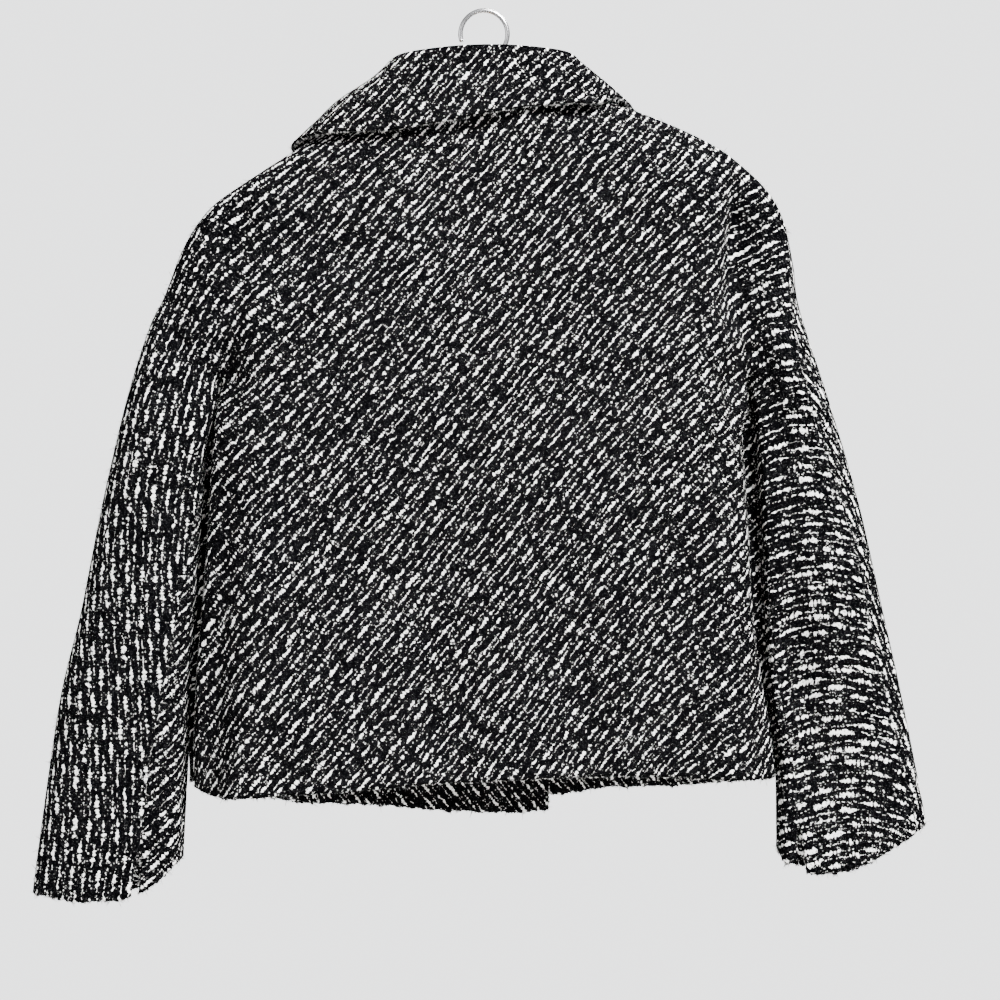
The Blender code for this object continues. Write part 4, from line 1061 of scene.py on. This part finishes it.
collar = {
    "neck": [(-0.0695, 0.5745, 1), (-0.0730, 0.5775, 1), (-0.0745, 0.5812, -1), (-0.0620, 0.5772, -1),
             (-0.0340, 0.5725, -1), (0.0000, 0.5710, -1), (0.0340, 0.5740, -1), (0.0620, 0.5797, -1),
             (0.0745, 0.5842, -1), (0.0730, 0.5795, 1), (0.0695, 0.5745, 1)],
    "roll": [(-0.071, 0.0330, 0.5810), (-0.077, 0.0180, 0.5940), (-0.079, 0.0000, 0.6040),
             (-0.070, -0.0250, 0.6100), (-0.041, -0.0400, 0.6130), (0.000, -0.0450, 0.6150),
             (0.041, -0.0400, 0.6140), (0.070, -0.0250, 0.6120), (0.079, 0.0000, 0.6070),
             (0.077, 0.0180, 0.5960), (0.071, 0.0330, 0.5820)],
    "edge": [(-0.146, 0.511, 1), (-0.160, 0.529, 1), (-0.158, 0.5440, 0), (-0.124, 0.541, -1),
             (-0.068, 0.5445, -1), (0.002, 0.559, -1), (0.052, 0.566, -1), (0.094, 0.565, -1),
             (0.116, 0.5800, 0), (0.136, 0.553, 1), (0.138, 0.519, 1)],
    "lift": 0.0090, "clearance": 0.0012, "samples": 16, "thickness": 0.0030, "grain": 48,
    "standAt": (0.25, 0.25, 0.55), "fallAt": (0.55, 0.60, 0.38), "fallSteps": (0.12, 0.35, 0.65, 1.0),
    "rawFrom": 0.94, "rawOver": 0.06, "waveFrom": 0.35, "waveOver": 0.3,
    "wave": (0.060, 81, 0.0010), "knob": (0.007, 82, 0.0007), "lump": (0.018, 83, 0.0005),
}


def makeCollar():
    points, outward, _ = form(collar["neck"])
    up = np.array([0, 0, coat["hookHeight"]])
    necks = points - outward * coat["wall"] / 2 + up + np.array([0, 0, collar["clearance"]])
    edges = []
    for x, height, sheet in collar["edge"]:
        point, outward, _ = form([(x, height, sheet or 1)])
        edge = point[0] + outward[0] * collar["lift"] + up
        edges.append(edge if sheet else (x, 0.0, height))
    necks = curved(necks, collar["samples"])
    rolls = curved(collar["roll"], collar["samples"])
    edges = curved(edges, collar["samples"])
    grid = []
    for neck, roll, edge in zip(necks, rolls, edges):
        stand = neck + (roll - neck) * np.array(collar["standAt"])
        mid = roll + (edge - roll) * np.array(collar["fallAt"])
        fall = [(1 - t) ** 2 * roll + 2 * t * (1 - t) * mid + t ** 2 * edge for t in collar["fallSteps"]]
        grid.append(curved([neck, stand, roll] + fall))
    bm = bmesh.new()
    ordered = addPatch(bm, grid)
    columns = len(grid[0])
    drop = np.array([(i % columns) / (columns - 1) for i in range(len(ordered))])
    points = np.array([vert.co for vert in ordered]) - up
    low = eased((drop - collar["rawFrom"]) / collar["rawOver"])
    wave, knobs, lumps = (ripples(points, size, seed) * rise
                          for size, seed, rise in (collar[key] for key in ("wave", "knob", "lump")))
    wave = wave * eased((drop - collar["waveFrom"]) / collar["waveOver"])
    for vert, point in zip(ordered, points):
        vert.co = point
    bmesh.ops.recalc_face_normals(bm, faces=bm.faces)
    bm.normal_update()
    nape = ordered[len(grid) // 2 * columns + columns * 3 // 4]
    if nape.normal.y > 0:
        bmesh.ops.reverse_faces(bm, faces=bm.faces)
        bm.normal_update()
    for vert, move, edgeShare, knob in zip(ordered, wave, low, knobs + lumps):
        vert.co += vert.normal * move
        vert.co.z -= edgeShare * abs(knob)
    bm.verts.index_update()
    lay = np.array([vert.co for vert in ordered]).reshape(len(grid), columns, 3)
    along = np.cumsum(np.linalg.norm(np.diff(lay, axis=0, prepend=lay[:1]), axis=2), axis=0)
    along -= along[len(grid) // 2]
    fall = np.cumsum(np.linalg.norm(np.diff(lay, axis=1, prepend=lay[:, :1]), axis=2), axis=1)
    turn = math.radians(collar["grain"])
    flat = np.column_stack([(along * math.cos(turn) - fall * math.sin(turn)).ravel(),
                            (along * math.sin(turn) + fall * math.cos(turn)).ravel()])
    cut = np.zeros((len(ordered), 2))
    cut[[vert.index for vert in ordered]] = flat
    area = sum(face.calc_area() for face in bm.faces)
    noteEdges("collarCloth", bm, np.ones(len(cut), bool))
    piece = finishCloth("collarCloth", bm, cut, collar["thickness"], 0.0)
    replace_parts(piece, "collar")
    print("collar made", len(piece.data.polygons), "area", round(area, 4), "cut", np.ptp(flat, axis=0).round(3))


makeCollar()


# Buttons, sewn flat on the right front

button = {"x": 0.034, "heights": {"top": 0.370, "middle": 0.255, "bottom": 0.140}, "gap": 0.0006,
          "holeAt": 0.0024, "hole": 0.0010, "holeLift": 0.00304, "holeDepth": 0.00006, "steps": 64,
          "strands": (-0.00042, 0.0, 0.00042), "thread": 0.00028, "threadLift": 0.0034, "threadPast": 0.0008,
          "profile": [(0.0, 0.0030), (0.0058, 0.0030), (0.0074, 0.0032), (0.0088, 0.0039), (0.0100, 0.0045),
                      (0.0110, 0.0046), (0.0119, 0.0042), (0.0124, 0.0034), (0.0125, 0.0024), (0.0122, 0.0013),
                      (0.0113, 0.0004), (0.0100, 0.0), (0.0, 0.0)]}


def makeButton(side, row):
    height = button["heights"][row]
    x = button["x"] if side == "right" else -button["x"]
    points, outward, reach = form([(x, height, 1)])
    rise = float(folded([(x, height, 1)], reach)[0]) + button["gap"]
    spot = Vector(points[0]) + Vector(outward[0]) * rise
    place = Matrix.Translation(spot) @ Vector(outward[0]).to_track_quat("Z", "Y").to_matrix().to_4x4()
    bm = bmesh.new()
    rim = [bm.verts.new((radius, 0, lift)) for radius, lift in button["profile"]]
    for before, after in zip(rim, rim[1:]):
        bm.edges.new((before, after))
    bmesh.ops.spin(bm, geom=bm.verts[:] + bm.edges[:], cent=(0, 0, 0), axis=(0, 0, 1), angle=math.tau,
                   steps=button["steps"], use_merge=True, use_duplicate=False)
    bmesh.ops.remove_doubles(bm, verts=bm.verts, dist=1e-6)
    bmesh.ops.recalc_face_normals(bm, faces=bm.faces)
    horn = len(bm.faces)
    at = button["holeAt"]
    for x, y in ((at, at), (at, -at), (-at, at), (-at, -at)):       # dark discs for holes under the thread: partly the black thread in them, partly painted shade of the holes' depth
        bmesh.ops.create_cone(bm, cap_ends=True, segments=14, radius1=button["hole"], radius2=button["hole"],
                              depth=button["holeDepth"], matrix=Matrix.Translation((x, y, button["holeLift"])))
    for sign in (-1, 1):                                            # two bars of thread across them
        for strand in button["strands"]:
            bar = Matrix.Translation((0, sign * at + strand, button["threadLift"]))
            bmesh.ops.create_cone(bm, cap_ends=True, segments=10, radius1=button["thread"], radius2=button["thread"],
                                  depth=2 * at + button["threadPast"],
                                  matrix=bar @ Matrix.Rotation(math.pi / 2, 4, "Y"))
    # the hole discs take the thread's finish: black thread plus painted shade where the holes are
    for face in bm.faces[:][horn:]:
        face.material_index = 1
    bmesh.ops.transform(bm, matrix=place, verts=bm.verts)
    name = "button" + side.title() + row.title()
    piece = toPiece(name, toMesh("sewnButton", bm), "horn", darkHorn, buttonThread)
    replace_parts(piece, "button_" + side + "_" + row)


for side in ("left", "right"):
    for row in button["heights"]:
        makeButton(side, row)
print("buttons made")


# The hanger and its hook

hanger = {"armRadius": 0.0070, "tip": 0.218, "neck": 0.079, "room": 0.0014, "top": 0.586,
          "bow": [(-0.060, 0.5700), (-0.045, 0.5750), (-0.022, 0.5835), (0.0, 0.586), (0.022, 0.5840),
                  (0.045, 0.5765), (0.060, 0.5720)],
          "slack": 0.0003, "step": 0.004, "sharp": 1.2, "endRound": 0.6,
          "wire": 0.0020, "hookRadius": 0.020, "hookTurn": (-25, 206, 15),
          "shank": [(0.0, 0.0), (0.0, 0.006), (0.004, 0.012), (0.012, 0.020)]}


def makeBar(name, path, radius, sides, finish, slot, node):
    data = bpy.data.curves.new(name, "CURVE")
    data.dimensions = "3D"
    data.bevel_depth = radius
    data.bevel_resolution = sides
    data.use_fill_caps = True
    spline = data.splines.new("POLY")
    spline.points.add(len(path) - 1)
    for target, (x, y, height) in zip(spline.points, path):
        target.co = (x, y, height - coat["hookHeight"], 1)
    curve = bpy.data.objects.new(name + "Path", data)
    bpy.context.scene.collection.objects.link(curve)
    bpy.context.view_layer.update()
    mesh = bpy.data.meshes.new_from_object(curve.evaluated_get(bpy.context.evaluated_depsgraph_get()))
    bpy.data.objects.remove(curve)
    bm = bmesh.new()
    bm.from_mesh(mesh)
    bmesh.ops.remove_doubles(bm, verts=bm.verts, dist=1e-6)
    ends = [edge for edge in bm.edges if edge.calc_face_angle(0) > hanger["sharp"]]
    bmesh.ops.bevel(bm, geom=ends, offset=radius * hanger["endRound"], affect="EDGES", segments=4, profile=0.5,
                    material=-1)
    bmesh.ops.recalc_face_normals(bm, faces=bm.faces)
    bm.to_mesh(mesh)
    bm.free()
    mesh.materials.clear()
    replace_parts(toPiece(name, mesh, slot, finish), node)


def hangerPath():
    clear = coat["wall"] + hanger["slack"] + hanger["armRadius"] + hanger["room"]
    sides = []
    for line in (lines["leftOuter"], lines["rightOuter"][::-1]):
        order = np.argsort(line[:, 0])
        places = np.linspace(hanger["neck"], hanger["tip"], 7) * np.sign(line[0, 0])
        heights = np.interp(places, line[order, 0], line[order, 1])
        ahead = np.interp(places + hanger["step"], line[order, 0], line[order, 1])
        slopes = (ahead - heights) / hanger["step"]
        drops = clear / np.hypot(1, slopes)
        sides.append([(x + slope * drop, 0.0, height - drop)
                      for x, height, slope, drop in zip(places, heights, slopes, drops)])
    return curved(sides[0][::-1] + [(x, 0.0, height) for x, height in hanger["bow"]] + sides[1], 6)


def hookPath():
    centre = coat["hookHeight"] + hanger["wire"] - hanger["hookRadius"]
    start = hanger["top"] + hanger["armRadius"] + hanger["slack"]
    path = [(x, 0.0, start + rise) for x, rise in hanger["shank"]]
    for angle in range(*hanger["hookTurn"]):
        turn = math.radians(angle)
        path.append((hanger["hookRadius"] * math.cos(turn), 0.0, centre + hanger["hookRadius"] * math.sin(turn)))
    return curved(path, 6)


makeBar("hangerBar", hangerPath(), hanger["armRadius"], 10, beechWood, "wood", "hanger")
makeBar("hangerHook", hookPath(), hanger["wire"], 6, brightWire, "steel", "hanger_hook")
print("hanger made")


# Knots of yarn along the raw edges, and loose hairs along every edge

fuzz = {"spacing": 0.0021, "knot": (0.0006, 0.0017), "knotRise": 0.0012, "inside": 0.0013, "hairs": 10500,
        "length": 0.0066, "radius": 0.00028, "hang": 0.3, "deepest": 0.0024, "seed": 4}


def unitShape(maker, **settings):
    bm = bmesh.new()
    maker(bm, **settings)
    corners = np.array([vert.co for vert in bm.verts])
    faces = [[vert.index for vert in face.verts] for face in bm.faces]
    bm.free()
    return corners, faces


def makeFuzz():
    rng = np.random.RandomState(fuzz["seed"])
    knot = unitShape(bmesh.ops.create_icosphere, subdivisions=1, radius=1)
    hair = unitShape(bmesh.ops.create_cone, cap_ends=True, segments=3, radius1=1, radius2=0.3, depth=1)
    points, faces, count = [], [], 0

    def place(shape, matrix):
        nonlocal count
        corners, sides = shape
        points.append(corners @ np.array(matrix.to_3x3()).T + np.array(matrix.translation))
        faces.extend([index + count for index in side] for side in sides)
        count += len(corners)

    rims = [rim for name in sorted(edges) for rim in edges[name]]
    for start, end, normal, free in rims:
        if free and rng.uniform() < (end - start).length / fuzz["spacing"]:
            wide, long = rng.uniform(*fuzz["knot"], size=2)
            root = start.lerp(end, rng.uniform()) - normal * fuzz["inside"]
            stand = Matrix.Translation(root) @ normal.to_track_quat("Z", "Y").to_matrix().to_4x4()
            place(knot, stand @ Matrix.Diagonal((wide, long, fuzz["knotRise"], 1)))
    for pick in rng.randint(0, len(rims), fuzz["hairs"]):
        start, end, normal, free = rims[pick]
        way = Vector(rng.normal(size=3)) + Vector((0, 0, -fuzz["hang"]))
        length = fuzz["length"] * rng.uniform(0.2, 1.0) ** 1.5
        thick = fuzz["radius"] * rng.uniform(0.6, 1.4)
        root = start.lerp(end, rng.uniform()) - normal * rng.uniform(0, fuzz["deepest"])
        root = root + way.normalized() * length * 0.5
        stand = Matrix.Translation(root) @ way.to_track_quat("Z", "Y").to_matrix().to_4x4()
        place(hair, stand @ Matrix.Diagonal((thick, thick, length, 1)))
    mesh = bpy.data.meshes.new("edgeFuzz")
    mesh.from_pydata(np.vstack(points), [], faces)
    toPiece("edgeFuzz", mesh, "tweed", fuzzYarn)
    print("fuzz made", len(faces))


def makeFuzzYarn():
    shop = Shop("fuzzYarn")
    x, y, z = shop.inObject()
    tone = shop.noise(x * 260, y * 260, z * 260).ramp(0.50, 0.60)
    return shop.finish(colour=shop.blend(tone, (0.012, 0.012, 0.013, 1), (0.42, 0.41, 0.40, 1)), roughness=0.9)


fuzzYarn = makeFuzzYarn()
makeFuzz()


# Stage, light and camera

studio = {"floorHeight": -1.60, "floorSize": 3.2, "cameraAt": (0.0136, -2.0, -0.414), "lens": 84.7, "sensor": 36,
          "sky": (0.95, 0.96, 0.97, 1), "dimSky": 0.32, "brightSky": 2.8, "brightFrom": 0.80, "brightTo": 0.93,
          "lights": {"key": ((1.2, -1.9, 2.0), 1.0, 760), "fill": ((-2.4, -1.6, 0.4), 1.8, 35),
                     "frontFill": ((0.9, 2.6, 1.9), 1.2, 330)}}

bm = bmesh.new()
bmesh.ops.create_grid(bm, x_segments=1, y_segments=1, size=studio["floorSize"],
                      matrix=Matrix.Translation((0, 0, studio["floorHeight"])))
floor = bpy.data.objects.new("floor", toMesh("floor", bm))
bpy.context.scene.collection.objects.link(floor)
floor.data.materials.append(paleFloor)

world = bpy.data.worlds.new("studioSky")        # brightest straight behind the coat's front
world.use_nodes = True
sky = world.node_tree.nodes["Background"]
sky.inputs["Color"].default_value = studio["sky"]
direction = world.node_tree.nodes.new("ShaderNodeTexCoord")
parts = world.node_tree.nodes.new("ShaderNodeSeparateXYZ")
glow = world.node_tree.nodes.new("ShaderNodeMapRange")
glow.interpolation_type = "SMOOTHERSTEP"
for end, fromKey, toKey in (("Min", "brightFrom", "dimSky"), ("Max", "brightTo", "brightSky")):
    glow.inputs["From " + end].default_value = studio[fromKey]
    glow.inputs["To " + end].default_value = studio[toKey]
world.node_tree.links.new(direction.outputs["Generated"], parts.inputs["Vector"])
world.node_tree.links.new(parts.outputs["Y"], glow.inputs["Value"])
world.node_tree.links.new(glow.outputs["Result"], sky.inputs["Strength"])
bpy.context.scene.world = world

target = Vector((0, 0, studio["cameraAt"][2]))
for name, (place, size, watts) in studio["lights"].items():
    lamp = bpy.data.lights.new(name, "AREA")
    lamp.size = size
    lamp.energy = watts
    holder = bpy.data.objects.new(name, lamp)
    holder.location = place
    holder.rotation_euler = (target - Vector(place)).to_track_quat("-Z", "Y").to_euler()
    bpy.context.scene.collection.objects.link(holder)

lens = bpy.data.cameras.new("camera")
lens.lens = studio["lens"]
lens.sensor_width = studio["sensor"]
camera = bpy.data.objects.new("camera", lens)
camera.location = studio["cameraAt"]
camera.rotation_euler = (math.radians(90), 0, 0)
bpy.context.scene.collection.objects.link(camera)
bpy.context.scene.camera = camera
print("studio made")
